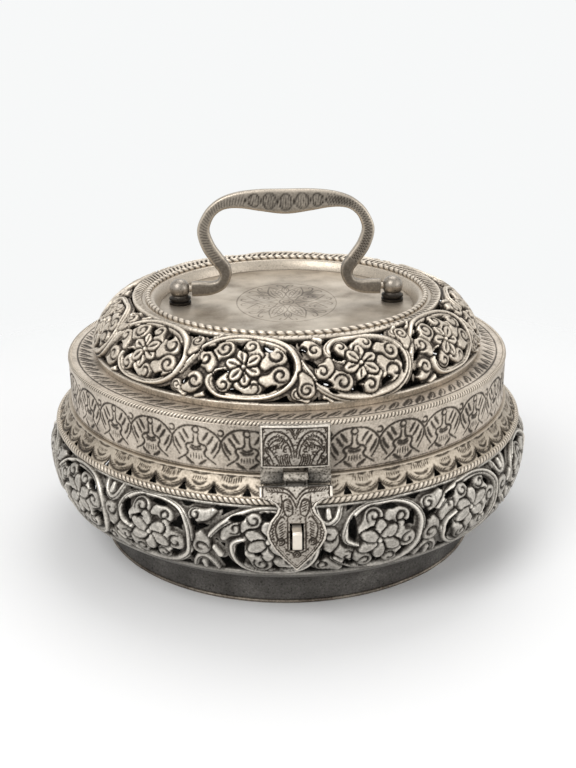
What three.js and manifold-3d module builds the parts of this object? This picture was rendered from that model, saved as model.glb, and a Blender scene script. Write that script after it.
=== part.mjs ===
// A round lidded box of aged silver: a flared foot, a bulging openwork wall, a sloping shoulder
// band, and a hinged lid with an openwork gallery round a sunk plate. A bail stands on two ball
// posts, and a hasp on the front of the lid closes over a staple on the wall.
// Lengths are in millimetres. +Z is up, and the hasp faces -Y.

import * as THREE from 'three';
import { mergeVertices } from 'three/addons/utils/BufferGeometryUtils.js';
import Module from 'manifold-3d';

const wasm = await Module();
wasm.setup();

// How finely round pieces are faceted
const ringSides = 48;
const innerSides = 40;
const smallSides = 16;

// Clearances
const solderGap = 0.12;
const lidGap = 0.3;
const rimClearance = 0.5;
const knuckleGap = 0.3;
const pinClearance = 0.1;
const cutGap = 0.3;
const cutReach = 5;

// Widest radius of the box, at the bulge of the wall
const bulgeRadius = 115;

// Foot
const footFlare = 5.6;
const footStraightRise = 10;
const footRise = 16.8;
const footThickness = 1.5;
const footWireHeight = 1.6;
const footWireProud = 0.6;
const footWireSetBack = 0.4;
const basePlateThickness = 1.4;

// Openwork wall of the body
const lowerWallInset = 19;
const lowerWallRise = 29.7;
const upperWallRise = 10.7;
const upperWallInset = 5.1;
const upperWallSweep = THREE.MathUtils.degToRad(55);
const wallThickness = 1.8;
const wallFootLip = 1.6;

// Rope on the wall, shoulder band, seat and rim
const bodyRopeSize = 2.2;
const shoulderRise = 8;
const shoulderProud = 0.6;
const shoulderThickness = 1.4;
const seatLip = 1.4;
const rimHeight = 9.6;
const rimThickness = 1.4;

// Lid band, ledge and rope
const lidInset = 11.6;
const lidSheet = 1.6;
const lidBandHeight = 20.4;
const ledgeThickness = 1.4;
const ledgeLap = 3.5;
const lidRopeSize = 1.4;

// Gallery: distance from the axis and height over the ledge, from its foot over the crest to its lip
const galleryThickness = 1.6;
const galleryInset = 11.9;
const galleryShape = [[0.6, 5], [-2.6, 13], [-10.2, 22], [-19.3, 27], [-23.6, 26.6]];
const galleryLipInset = 24.6;
const galleryLipRise = 24.2;

// Well and top plate
const wellDepth = 4.8;
const wellTaper = 2.2;
const wellThickness = 1.2;
const wellFlangeWidth = 6.7;
const innerRopeSize = 2.4;
const innerRopeGap = 0.2;
const topPlateThickness = 1.2;

// Bail posts and washers
const postInset = 9.3;
const pivotHeight = 7.2;
const postBallRadius = 4.8;
const postCollarRadius = 5.2;
const postCollarHeight = 3.6;
const postGroove = 0.5;
const postNeckRadius = 3.2;
const postTailRadius = 1.6;
const postTailHead = 2.6;
const postTailHeadHeight = 1.1;
const postHoleClearance = 0.15;
const washerRadius = 4.2;
const washerThickness = 1;

// Bail
const bailDepth = 4.6;
const bailBevel = 0.5;
const bailEndGap = 1;
const bailPivotRadius = 1.5;
const bailPivotLength = 5;
const bailPivotBedding = 2;

// Middle of the grip: height over the pivot and half of the bow's width there
const gripRise = 40.9;
const gripHalfWidth = 5.7;

// Centre line of the bail's right half from the grip down to the end: inwards from the end in shares
// of the bow's half span, up from the pivot, and half of the width there
const bailPath = [
  [0.754, 41.5, 5],
  [0.553, 41.8, 3.9],
  [0.396, 40.9, 3],
  [0.284, 38.6, 2.5],
  [0.195, 34.4, 2.5],
  [0.141, 27.7, 2.9],
  [0.186, 20.3, 3.1],
  [0.271, 14.5, 3.1],
  [0.347, 9.7, 3.1],
  [0.356, 5.7, 2.7],
  [0.306, 1.9, 2.6],
  [0.208, 0.2, 3],
  [0.105, 0, 3.4],
];
const bailEndHalfWidth = 3.5;
const bailEndDrop = 0.1;
const bailSteps = 24;

// Hinges: front plate and hasp, and rear leaves
const barrelRadius = 2.2;
const pinRadius = 1;
const barrelOut = 4.1;
const barrelOverSeat = 0.5;
const frontPlateWidth = 28;
const frontPlateThickness = 2;
const frontPlateClearOfBarrel = 1;
const haspKnuckleWidth = 9.6;
const rearLeafWidth = 44;
const rearLidPlateThickness = 1.4;
const rearLidPlateHeight = 14;
const rearBodyLeafThickness = 1.2;
const rearKnuckleWidth = 8.6;
const webThickness = 1.6;

// Hasp leaf: how far its middle stands out from the widest radius of the wall at each height
// under the barrel, and its front outline
const haspThickness = 1.4;
const haspStandOff = 0.9;
const haspSide = [
  [-6.6, -2.6], [-3, -7.7], [-1.6, -10.5], [0.6, -15.9], [1.6, -21.4], [1, -28], [-1.4, -37.6],
];
const haspBarHalf = 14.5;
const haspBarDrop = 6.4;
const haspWaistHalf = 7.2;
const haspWaistDrop = 10;
const haspBellyHalf = 12;
const haspBellyDrop = 19;
const haspBellyCurve = 4.5;
const haspTipDrop = 37.6;
const haspSlotWidth = 5.6;
const haspSlotTop = 15.5;
const haspSlotBottom = 27.4;

// Staple
const stapleWidth = 2.8;
const stapleHeight = 8;
const stapleStrap = 1.2;
const stapleCorner = 1.8;
const stapleReach = 7.8;
const stapleTail = 2.4;
const stapleTailGap = 3;
const stapleDrop = 20.7;

// Panels of the running scroll: how many, where the one nearest the front lies, the middle of the
// rings up the face, and half of their height. The panels of the wall crowd a little at the front.
const wallPanels = 14;
const wallPanelTurn = THREE.MathUtils.degToRad(-5.5);
const wallPanelCrowding = 0.063;
const wallRingUp = 33;
const wallRingHalfHeight = 16.6;
const wallPlainRows = [5, 10.5];
const galleryPanels = 11;
const galleryPanelTurn = THREE.MathUtils.degToRad(-12.2);
const galleryRingUp = 19;
const galleryRingHalfHeight = 15.9;
const galleryPlainRows = [39.5];

// One panel, as a net of knots that lie in squares round its middle: the flower, its edge, the ring
// of the stem, and the edge of the panel. Flower and stem are in shares of half the ring, and the
// half width of a ring in shares of the panels' spacing.
const netSteps = 3;
const ringShare = 0.36;
const panelHeightShare = 1.03;
const flowerShare = 0.44;
const stemShare = 0.9;

// How far the knots lie under the highest forms
const flowerEdgeDepth = 0.4;
const groundDepth = 0.75;
const leafDepth = 0.15;

// Meshes that are sawn out, by the knot at their lower left: between flower and stem, and outside it
const innerGapSteps = [[-2, -2], [0, -2], [1, -1], [1, 1], [-1, 1], [-2, 0]];
const outerGapSteps = [[2, 1], [-3, -2]];
const stapleSeat = 12;

// Heights worked out from the sizes above
const footTopZ = footRise;
const bulgeZ = footTopZ + lowerWallRise;
const wallTopZ = bulgeZ + upperWallRise;
const bodyRopeTopZ = wallTopZ + bodyRopeSize;
const seatZ = bodyRopeTopZ + shoulderRise;
const lidBottomZ = seatZ + lidGap;
const bandTopZ = lidBottomZ + lidBandHeight;
const ledgeTopZ = bandTopZ + ledgeThickness;
const flangeZ = ledgeTopZ + galleryLipRise;
const plateTopZ = flangeZ - wellDepth;
const plateBottomZ = plateTopZ - topPlateThickness;
const pivotZ = plateTopZ + pivotHeight;
const barrelZ = seatZ + barrelOverSeat;

// Radii worked out from the sizes above
const wallBottomRadius = bulgeRadius - lowerWallInset;
const footRadius = wallBottomRadius - footFlare;
const footInnerRadius = footRadius - footThickness;
const wallTopRadius = bulgeRadius - upperWallInset;
const lidRadius = bulgeRadius - lidInset;
const galleryFootRadius = lidRadius - galleryInset;
const ledgeInnerRadius = galleryFootRadius - ledgeLap;
const bandInnerRadius = lidRadius - lidSheet;
const rimOuterRadius = bandInnerRadius - rimClearance;
const rimInnerRadius = rimOuterRadius - rimThickness;
const seatOuterRadius = lidRadius + seatLip;
const shoulderBottomRadius = wallTopRadius + shoulderProud;
const barrelRadiusFromAxis = lidRadius + barrelOut;
const lidRopeRadius = lidRadius - lidRopeSize / 2 + 0.3;
const galleryLipRadius = galleryFootRadius - galleryLipInset;
const innerRopeRadius = galleryLipRadius - innerRopeGap - innerRopeSize / Math.sqrt(3);
const wellInnerRadius = galleryLipRadius + galleryThickness - wellFlangeWidth;
const plateRadius = wellInnerRadius - wellTaper + wellThickness;
const postSpacing = 2 * (wellInnerRadius - wellTaper - postInset);
const stapleZ = barrelZ - stapleDrop;

// Finishes
const finishes = {
  silver: { color: 0x8f8a82, roughness: 0.42, metalness: 1 },
  darkSilver: { color: 0x55534f, roughness: 0.5, metalness: 1 },
  warmSilver: { color: 0x9a9184, roughness: 0.36, metalness: 1 },
  wire: { color: 0xa39d93, roughness: 0.34, metalness: 1 },
};

// Make one closed body of a geometry: shared corners merged, flat triangles dropped, faces out
function closedBody(geometry) {
  const bare = geometry.clone();
  bare.deleteAttribute('normal');
  bare.deleteAttribute('uv');
  const merged = mergeVertices(bare, 1e-4);
  const place = merged.getAttribute('position');
  const corners = merged.index.array;
  const kept = [];
  let volume = 0;
  const a = new THREE.Vector3();
  const b = new THREE.Vector3();
  const c = new THREE.Vector3();
  for (let i = 0; i < corners.length; i += 3) {
    const [p, q, r] = [corners[i], corners[i + 1], corners[i + 2]];
    if (p === q || q === r || r === p) continue;
    kept.push(p, q, r);
    a.fromBufferAttribute(place, p);
    b.fromBufferAttribute(place, q);
    c.fromBufferAttribute(place, r);
    volume += a.dot(b.cross(c));
  }
  if (volume < 0) kept.reverse();
  const body = new THREE.BufferGeometry();
  body.setAttribute('position', place.clone());
  body.setIndex(kept);
  return body;
}

function toSolid(geometry) {
  const body = closedBody(geometry);
  const vertProperties = Float32Array.from(body.getAttribute('position').array);
  const triVerts = Uint32Array.from(body.index.array);
  return new wasm.Manifold(new wasm.Mesh({ numProp: 3, vertProperties, triVerts }));
}

function fromSolid(solid) {
  const mesh = solid.getMesh();
  const geometry = new THREE.BufferGeometry();
  geometry.setAttribute('position', new THREE.BufferAttribute(Float32Array.from(mesh.vertProperties), 3));
  geometry.setIndex(Array.from(mesh.triVerts));
  return geometry;
}

function cut(geometry, ...tools) {
  return fromSolid(tools.reduce((solid, tool) => solid.subtract(toSolid(tool)), toSolid(geometry)));
}

function join(...pieces) {
  const [first, ...rest] = pieces.map(toSolid);
  return fromSolid(rest.reduce((solid, piece) => solid.add(piece), first));
}

function overlap(geometry, other) {
  return fromSolid(toSolid(geometry).intersect(toSolid(other)));
}

// A ring turned about the Z axis from [radius, height] corners that close on themselves.
// A profile that starts and ends on the axis gives a full body.
function turned(profile, sides = ringSides) {
  const points = profile.map(([radius, height]) => new THREE.Vector2(radius, height));
  const onAxis = profile[0][0] === 0 && profile[profile.length - 1][0] === 0;
  if (!onAxis) points.push(points[0].clone());
  return new THREE.LatheGeometry(points, sides).rotateX(Math.PI / 2);
}

// A wire bent to a ring, six sided, lying flat on the height given
function ringWire(radius, bottomZ, size, sides = ringSides) {
  const corner = size / Math.sqrt(3);
  const middle = bottomZ + size / 2;
  const profile = [];
  for (let i = 0; i < 6; i += 1) {
    const turn = (i * Math.PI) / 3;
    profile.push([radius + corner * Math.cos(turn), middle + corner * Math.sin(turn)]);
  }
  return turned(profile, sides);
}

// A section in [y, z] carried along X between two places
function alongX(section, fromX, toX) {
  const shape = new THREE.Shape(section.map(([y, z]) => new THREE.Vector2(y, z)));
  const geometry = new THREE.ExtrudeGeometry(shape, { depth: toX - fromX, bevelEnabled: false });
  const turn = new THREE.Matrix4().set(0, 0, 1, fromX, 1, 0, 0, 0, 0, 1, 0, 0, 0, 0, 0, 1);
  return geometry.applyMatrix4(turn);
}

// A shape in [x, z] carried along -Y from one place to another
function alongY(shape, fromY, toY, curveSegments = 8) {
  const settings = { depth: toY - fromY, bevelEnabled: false, curveSegments };
  const geometry = new THREE.ExtrudeGeometry(shape, settings);
  return geometry.rotateX(Math.PI / 2).translate(0, toY, 0);
}

function rodAlongX(radius, fromX, toX, y, z, sides = smallSides) {
  const rod = new THREE.CylinderGeometry(radius, radius, toX - fromX, sides).rotateZ(Math.PI / 2);
  return rod.translate((fromX + toX) / 2, y, z);
}

function block(fromX, toX, fromY, toY, fromZ, toZ) {
  const box = new THREE.BoxGeometry(toX - fromX, toY - fromY, toZ - fromZ);
  return box.translate((fromX + toX) / 2, (fromY + toY) / 2, (fromZ + toZ) / 2);
}

// The line beside a line of [a, b] points, at a distance to the left of its direction
function beside(line, distance) {
  return line.map(([a, b], i) => {
    const before = line[Math.max(i - 1, 0)];
    const after = line[Math.min(i + 1, line.length - 1)];
    const along = new THREE.Vector2(after[0] - before[0], after[1] - before[1]).normalize();
    const reach = Array.isArray(distance) ? distance[i] : distance;
    return [a - along.y * reach, b + along.x * reach];
  });
}

function smoothLine(points, steps) {
  const curve = new THREE.SplineCurve(points.map(([a, b]) => new THREE.Vector2(a, b)));
  return curve.getPoints(steps).map((point) => [point.x, point.y]);
}

// Outer face of the openwork wall, from the foot over the bulge to the rope
function wallFace(inward, lowerSteps, upperSteps) {
  const face = [];
  for (let i = 0; i < lowerSteps; i += 1) {
    const turn = (i / lowerSteps) * (Math.PI / 2);
    face.push([
      wallBottomRadius + (bulgeRadius - wallBottomRadius - inward) * Math.sin(turn),
      bulgeZ - (lowerWallRise - inward) * Math.cos(turn),
    ]);
  }
  for (let i = 0; i <= upperSteps; i += 1) {
    const turn = (i / upperSteps) * upperWallSweep;
    const inset = (1 - Math.cos(turn)) / (1 - Math.cos(upperWallSweep));
    const rise = Math.sin(turn) / Math.sin(upperWallSweep);
    face.push([bulgeRadius - inward - upperWallInset * inset, bulgeZ + upperWallRise * rise]);
  }
  return face;
}

// A sheet bent round the axis along a face of [radius, height] points. It carries a place on it,
// given by its turn from the front, its way up the face and its distance out of it, into space.
function bentSheet(face) {
  const ways = [0];
  for (let i = 1; i < face.length; i += 1) {
    ways.push(ways[i - 1] + Math.hypot(face[i][0] - face[i - 1][0], face[i][1] - face[i - 1][1]));
  }
  return ([turn, up, out]) => {
    let i = 1;
    while (i < face.length - 1 && ways[i] < up) i += 1;
    const [radius, height] = face[i - 1];
    const along = new THREE.Vector2(face[i][0] - radius, face[i][1] - height).normalize();
    const way = up - ways[i - 1];
    const reach = radius + along.x * way + along.y * out;
    return [reach * Math.sin(turn), -reach * Math.cos(turn), height + along.y * way - along.x * out];
  };
}

// One knot of a panel's net, in shares of the ring
function netKnot(i, j) {
  const level = Math.max(Math.abs(i), Math.abs(j));
  if (level === netSteps) {
    const out = j === 0 ? -leafDepth : -groundDepth;
    return [(i / netSteps) * (0.5 / ringShare), (j / netSteps) * panelHeightShare, out];
  }
  if (level === 0) return [0, 0, 0];
  const beside = Math.abs(i) >= Math.abs(j);
  const lean = (Math.PI / 4) * (beside ? j / i : -i / j);
  const turn = lean + (beside ? 0 : Math.PI / 2) + ((beside ? i : j) < 0 ? Math.PI : 0);
  const [reach, out] = level === 1 ? [flowerShare, -flowerEdgeDepth] : [stemShare, 0];
  return [reach * Math.cos(turn), reach * Math.sin(turn), out];
}

// An openwork shell round the axis. Its loops of places run up the outer face and down the inner
// one, and close through the foot. Where a mesh is sawn out, walls join both faces.
function openworkShell({
  face, thickness, below, above, first, last, foot, panels, firstTurn, crowding, ringUp, ringHalfHeight,
}) {
  const place = bentSheet(face);
  const spacing = (2 * Math.PI) / panels;
  const netSize = 2 * netSteps;
  const columns = panels * netSize;
  const netStart = 1 + below.length;
  const rows = netStart + netSize + above.length + 1;
  const places = [];
  for (let c = 0; c < columns; c += 1) {
    const panel = Math.floor(c / netSize);
    const i = (c % netSize) - netSteps;
    const flip = panel % 2 === 0 ? -1 : 1;
    const turnAt = (x) => {
      const turn = (panel + x * ringShare) * spacing;
      return firstTurn + turn - crowding * Math.sin(turn);
    };
    const edgeTurn = turnAt((i / netSteps) * (0.5 / ringShare));
    const onEdge = ([radius, height]) => [radius * Math.sin(edgeTurn), -radius * Math.cos(edgeTurn), height];
    const plain = (up) => [edgeTurn, up, -groundDepth];
    const net = Array.from({ length: netSize + 1 }, (_, r) => {
      const [x, y, out] = netKnot(i, flip * (r - netSteps));
      return [turnAt(x), ringUp + flip * y * ringHalfHeight, out];
    });
    const worked = [...below.map(plain), ...net, ...above.map(plain)];
    const inner = worked.map(([turn, up]) => place([turn, up, -thickness])).reverse();
    places.push(
      onEdge(first[0]), ...worked.map(place), onEdge(last[0]),
      onEdge(last[1]), ...inner, onEdge(first[1]), ...foot.map(onEdge),
    );
  }

  const count = places.length / columns;
  const at = (c, r, side) => ((c + columns) % columns) * count + (side === 0 ? r : 2 * rows + 1 - r);
  const nearStaple = (c, r) => {
    const corner = new THREE.Vector3(...places[at(c, r, 0)]);
    const opposite = new THREE.Vector3(...places[at(c + 1, r + 1, 0)]);
    const middle = corner.lerp(opposite, 0.5);
    return middle.distanceTo(new THREE.Vector3(0, -bulgeRadius, stapleZ)) < stapleSeat;
  };
  const sawn = new Set();
  for (let panel = 0; panel < panels; panel += 1) {
    [...innerGapSteps, ...outerGapSteps].forEach(([i, j]) => {
      const c = panel * netSize + i + netSteps;
      const r = netStart + netSteps + (panel % 2 === 0 ? -j - 1 : j);
      if (!nearStaple(c, r)) sawn.add(`${c} ${r}`);
    });
  }
  const isSawn = (c, r) => sawn.has(`${(c + columns) % columns} ${r}`);
  const corners = [];
  const quad = (a, b, c, d) => corners.push(a, b, c, a, c, d);
  for (let c = 0; c < columns; c += 1) {
    for (let p = 0; p < count; p += 1) {
      const row = p <= rows ? p : 2 * rows - p;
      if (p > 2 * rows || p === rows || !isSawn(c, row)) {
        const next = (p + 1) % count;
        const [left, right] = [c * count, ((c + 1) % columns) * count];
        quad(left + p, right + p, right + next, left + next);
      }
    }
    for (let r = 0; r < rows; r += 1) {
      const edges = [
        [[c, r], [c + 1, r], [c, r - 1]],
        [[c + 1, r], [c + 1, r + 1], [c + 1, r]],
        [[c + 1, r + 1], [c, r + 1], [c, r + 1]],
        [[c, r + 1], [c, r], [c - 1, r]],
      ];
      edges.forEach(([from, to, neighbour]) => {
        if (!isSawn(c, r) || isSawn(...neighbour)) return;
        quad(at(...from, 0), at(...to, 0), at(...to, 1), at(...from, 1));
      });
    }
  }
  const geometry = new THREE.BufferGeometry();
  geometry.setAttribute('position', new THREE.Float32BufferAttribute(places.flat(), 3));
  geometry.setIndex(corners);
  return geometry;
}

// Foot wire: lies on the table under the edge of the foot ring, and stands a little proud outside
function footWire() {
  const innerRadius = footInnerRadius + footWireSetBack;
  const outerRadius = footRadius + footWireProud;
  const soft = footWireHeight / 4;
  return turned([
    [innerRadius, 0],
    [outerRadius - soft, 0],
    [outerRadius, soft],
    [outerRadius, footWireHeight - soft],
    [outerRadius - soft, footWireHeight],
    [innerRadius, footWireHeight],
  ]);
}

// Foot ring: upright at first, then flared out under the wall
function footRing() {
  const flareRise = footRise - footStraightRise;
  return turned([
    [footInnerRadius, footWireHeight],
    [footRadius, footWireHeight],
    [footRadius, footStraightRise],
    [footRadius + footFlare * 0.35, footStraightRise + flareRise * 0.6],
    [wallBottomRadius, footRise],
    [wallBottomRadius - wallFootLip, footRise],
    [footInnerRadius + footFlare * 0.35, footStraightRise + flareRise * 0.75],
    [footInnerRadius, footStraightRise],
  ]);
}

// Base plate: dropped into the foot ring and soldered flush with its lower edge
function basePlate() {
  return turned([
    [0, footWireHeight],
    [footInnerRadius, footWireHeight],
    [footInnerRadius, footWireHeight + basePlateThickness],
    [0, footWireHeight + basePlateThickness],
  ]);
}

// Body wall: a carved shell with a narrow lip on the foot ring, a plain strip over it, fourteen
// openwork panels, and two slits for the staple
function bodyWall() {
  const shell = openworkShell({
    face: wallFace(0, 20, 10),
    thickness: wallThickness,
    below: wallPlainRows,
    above: [],
    first: [[wallBottomRadius, footTopZ], [wallBottomRadius, footTopZ + wallThickness]],
    last: [[wallTopRadius, wallTopZ], [wallTopRadius - wallThickness, wallTopZ]],
    foot: [
      [wallBottomRadius - wallFootLip, footTopZ + wallThickness],
      [wallBottomRadius - wallFootLip, footTopZ],
    ],
    panels: wallPanels,
    firstTurn: wallPanelTurn,
    crowding: wallPanelCrowding,
    ringUp: wallRingUp,
    ringHalfHeight: wallRingHalfHeight,
  });
  const slits = [1, -1].map((side) => {
    const middle = stapleZ + (side * (stapleHeight - stapleStrap)) / 2;
    const half = stapleStrap / 2 + cutGap;
    const wide = stapleWidth / 2 + cutGap;
    const [front, back] = [-bulgeRadius - 2, -bulgeRadius + 3 * wallThickness];
    return block(-wide, wide, front, back, middle - half, middle + half);
  });
  return cut(shell, ...slits);
}

function bodyRopeWire() {
  return ringWire(wallTopRadius, wallTopZ, bodyRopeSize);
}

// Shoulder band: slopes in from the rope, then turns flat to carry the lid and the rim
function shoulderBand() {
  return turned([
    [shoulderBottomRadius, bodyRopeTopZ],
    [seatOuterRadius, seatZ],
    [rimInnerRadius, seatZ],
    [rimInnerRadius, seatZ - shoulderThickness],
    [seatOuterRadius - shoulderThickness, seatZ - shoulderThickness],
    [shoulderBottomRadius - shoulderThickness * 1.3, bodyRopeTopZ],
  ]);
}

// Body rim: the bezel that the lid slips over
function bodyRim() {
  return turned([
    [rimInnerRadius, seatZ],
    [rimOuterRadius, seatZ],
    [rimOuterRadius, seatZ + rimHeight - rimThickness / 2],
    [rimOuterRadius - rimThickness / 2, seatZ + rimHeight],
    [rimInnerRadius, seatZ + rimHeight],
  ]);
}

// Staple: a strap bent to a loop, put through the wall and its tails clenched up and down inside
function staple() {
  const outerY = -bulgeRadius - stapleReach;
  const innerY = -bulgeRadius + wallThickness + stapleTailGap;
  const half = stapleHeight / 2;
  const line = (inset, corner) => {
    const path = new THREE.Path();
    const reach = half - inset;
    const front = outerY + inset;
    path.moveTo(innerY, stapleZ + reach);
    path.lineTo(front + corner, stapleZ + reach);
    path.absarc(front + corner, stapleZ + reach - corner, corner, Math.PI / 2, Math.PI, false);
    path.absarc(front + corner, stapleZ - reach + corner, corner, Math.PI, 1.5 * Math.PI, false);
    path.lineTo(innerY, stapleZ - reach);
    return path.getPoints(4).map((point) => [point.x, point.y]);
  };
  const outer = line(0, stapleCorner);
  const inner = line(stapleStrap, stapleCorner - stapleStrap).reverse();
  const tailY = innerY + stapleStrap;
  const upTail = [
    [tailY, stapleZ + half - stapleStrap],
    [tailY, stapleZ + half + stapleTail],
    [innerY, stapleZ + half + stapleTail],
  ];
  const downTail = [
    [innerY, stapleZ - half - stapleTail],
    [tailY, stapleZ - half - stapleTail],
    [tailY, stapleZ - half + stapleStrap],
  ];
  const section = [...outer, ...downTail, ...inner.slice(1, -1), ...upTail];
  return alongX(section, -stapleWidth / 2, stapleWidth / 2);
}

// One knuckle of a hinge: a tube on the pin's line
function knuckle(fromX, toX, barrelY) {
  return rodAlongX(barrelRadius, fromX, toX, barrelY, barrelZ);
}

// Bore for the pin, cut through all the knuckles of a leaf
function pinBore(width, barrelY) {
  return rodAlongX(pinRadius + pinClearance, -width, width, barrelY, barrelZ);
}

function hingePin(width, barrelY) {
  return rodAlongX(pinRadius, -width / 2, width / 2, barrelY, barrelZ);
}

// A strip of a ring turned about the box's axis, cut to a width on the front or the back
function ringStrip(profile, width, side) {
  const reach = bulgeRadius * 2;
  const nearY = side > 0 ? 0 : -reach;
  const band = turned(profile, ringSides * 2);
  return overlap(band, block(-width / 2, width / 2, nearY, nearY + reach, 0, pivotZ * 2));
}

// Web that joins a knuckle to the plate over it, written for the front and mirrored to the back
function upperWeb(fromX, toX, side, plateThickness) {
  const face = lidRadius + solderGap;
  const section = [
    [face + 0.2, barrelZ + barrelRadius * 0.6],
    [barrelRadiusFromAxis - barrelRadius * 0.7, barrelZ - barrelRadius * 0.2],
    [barrelRadiusFromAxis, barrelZ],
    [barrelRadiusFromAxis + barrelRadius * 0.5, barrelZ + barrelRadius * 0.8],
    [face + plateThickness - 0.2, barrelZ + barrelRadius + webThickness],
    [face + 0.2, barrelZ + barrelRadius + webThickness],
  ];
  return alongX(section.map(([y, z]) => [side * y, z]), fromX, toX);
}

// Front hinge plate: soldered on the lid band, with a knuckle at each side
function haspHingePlate() {
  const face = lidRadius + solderGap;
  const half = frontPlateWidth / 2;
  const inside = haspKnuckleWidth / 2 + knuckleGap;
  const barrelY = -barrelRadiusFromAxis;
  const plate = ringStrip([
    [face, barrelZ + barrelRadius + frontPlateClearOfBarrel],
    [face + frontPlateThickness, barrelZ + barrelRadius + frontPlateClearOfBarrel],
    [face + frontPlateThickness, ledgeTopZ],
    [face, ledgeTopZ],
  ], frontPlateWidth, -1);
  const whole = join(
    plate,
    upperWeb(-half, -inside, -1, frontPlateThickness),
    upperWeb(inside, half, -1, frontPlateThickness),
    knuckle(-half, -inside, barrelY),
    knuckle(inside, half, barrelY),
  );
  return cut(whole, pinBore(frontPlateWidth, barrelY));
}

function haspPin() {
  return hingePin(frontPlateWidth, -barrelRadiusFromAxis);
}

// Knuckles of the rear hinge: five in a row, the outer pair and the middle one on the body
function rearKnuckles(onLid) {
  const half = rearLeafWidth / 2;
  const middle = rearKnuckleWidth / 2;
  const inner = (half - middle) / 2;
  if (onLid) {
    return [
      [-middle - inner + knuckleGap / 2, -middle - knuckleGap],
      [middle + knuckleGap, middle + inner - knuckleGap / 2],
    ];
  }
  return [
    [-half, -middle - inner - knuckleGap / 2],
    [-middle, middle],
    [middle + inner + knuckleGap / 2, half],
  ];
}

// Rear leaf of the lid: a plate on the lid band, with two knuckles
function rearHingeLidLeaf() {
  const face = lidRadius + solderGap;
  const low = barrelZ + barrelRadius + frontPlateClearOfBarrel;
  const plate = ringStrip([
    [face, low],
    [face + rearLidPlateThickness, low],
    [face + rearLidPlateThickness, low + rearLidPlateHeight],
    [face, low + rearLidPlateHeight],
  ], rearLeafWidth, 1);
  const pieces = rearKnuckles(true).flatMap(([fromX, toX]) => [
    knuckle(fromX, toX, barrelRadiusFromAxis),
    upperWeb(fromX, toX, 1, rearLidPlateThickness),
  ]);
  return cut(join(plate, ...pieces), pinBore(rearLeafWidth, barrelRadiusFromAxis));
}

// Rear leaf of the body: a plate on the shoulder, cleared round the barrel, with three knuckles
function rearHingeBodyLeaf() {
  const slope = new THREE.Vector2(shoulderRise, shoulderBottomRadius - seatOuterRadius).normalize();
  const place = (share, off) => [
    THREE.MathUtils.lerp(shoulderBottomRadius, seatOuterRadius, share) + slope.x * off,
    THREE.MathUtils.lerp(bodyRopeTopZ, seatZ, share) + slope.y * off,
  ];
  const near = solderGap;
  const far = solderGap + rearBodyLeafThickness;
  const corners = [place(0.08, near), place(0.08, far), place(0.9, far), place(0.9, near)];
  const plate = ringStrip(corners, rearLeafWidth, 1);
  const roomRadius = barrelRadius + knuckleGap;
  const room = rodAlongX(roomRadius, -rearLeafWidth, rearLeafWidth, barrelRadiusFromAxis, barrelZ);
  const web = [
    [barrelRadiusFromAxis + barrelRadius * 0.9, barrelZ],
    [barrelRadiusFromAxis, barrelZ],
    place(0.8, near + 0.25),
    place(0.45, near + 0.25),
    place(0.4, far),
  ];
  const pieces = rearKnuckles(false).flatMap(([fromX, toX]) => [
    knuckle(fromX, toX, barrelRadiusFromAxis),
    alongX(web, fromX, toX),
  ]);
  return cut(join(cut(plate, room), ...pieces), pinBore(rearLeafWidth, barrelRadiusFromAxis));
}

function rearHingePin() {
  return hingePin(rearLeafWidth, barrelRadiusFromAxis);
}

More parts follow.
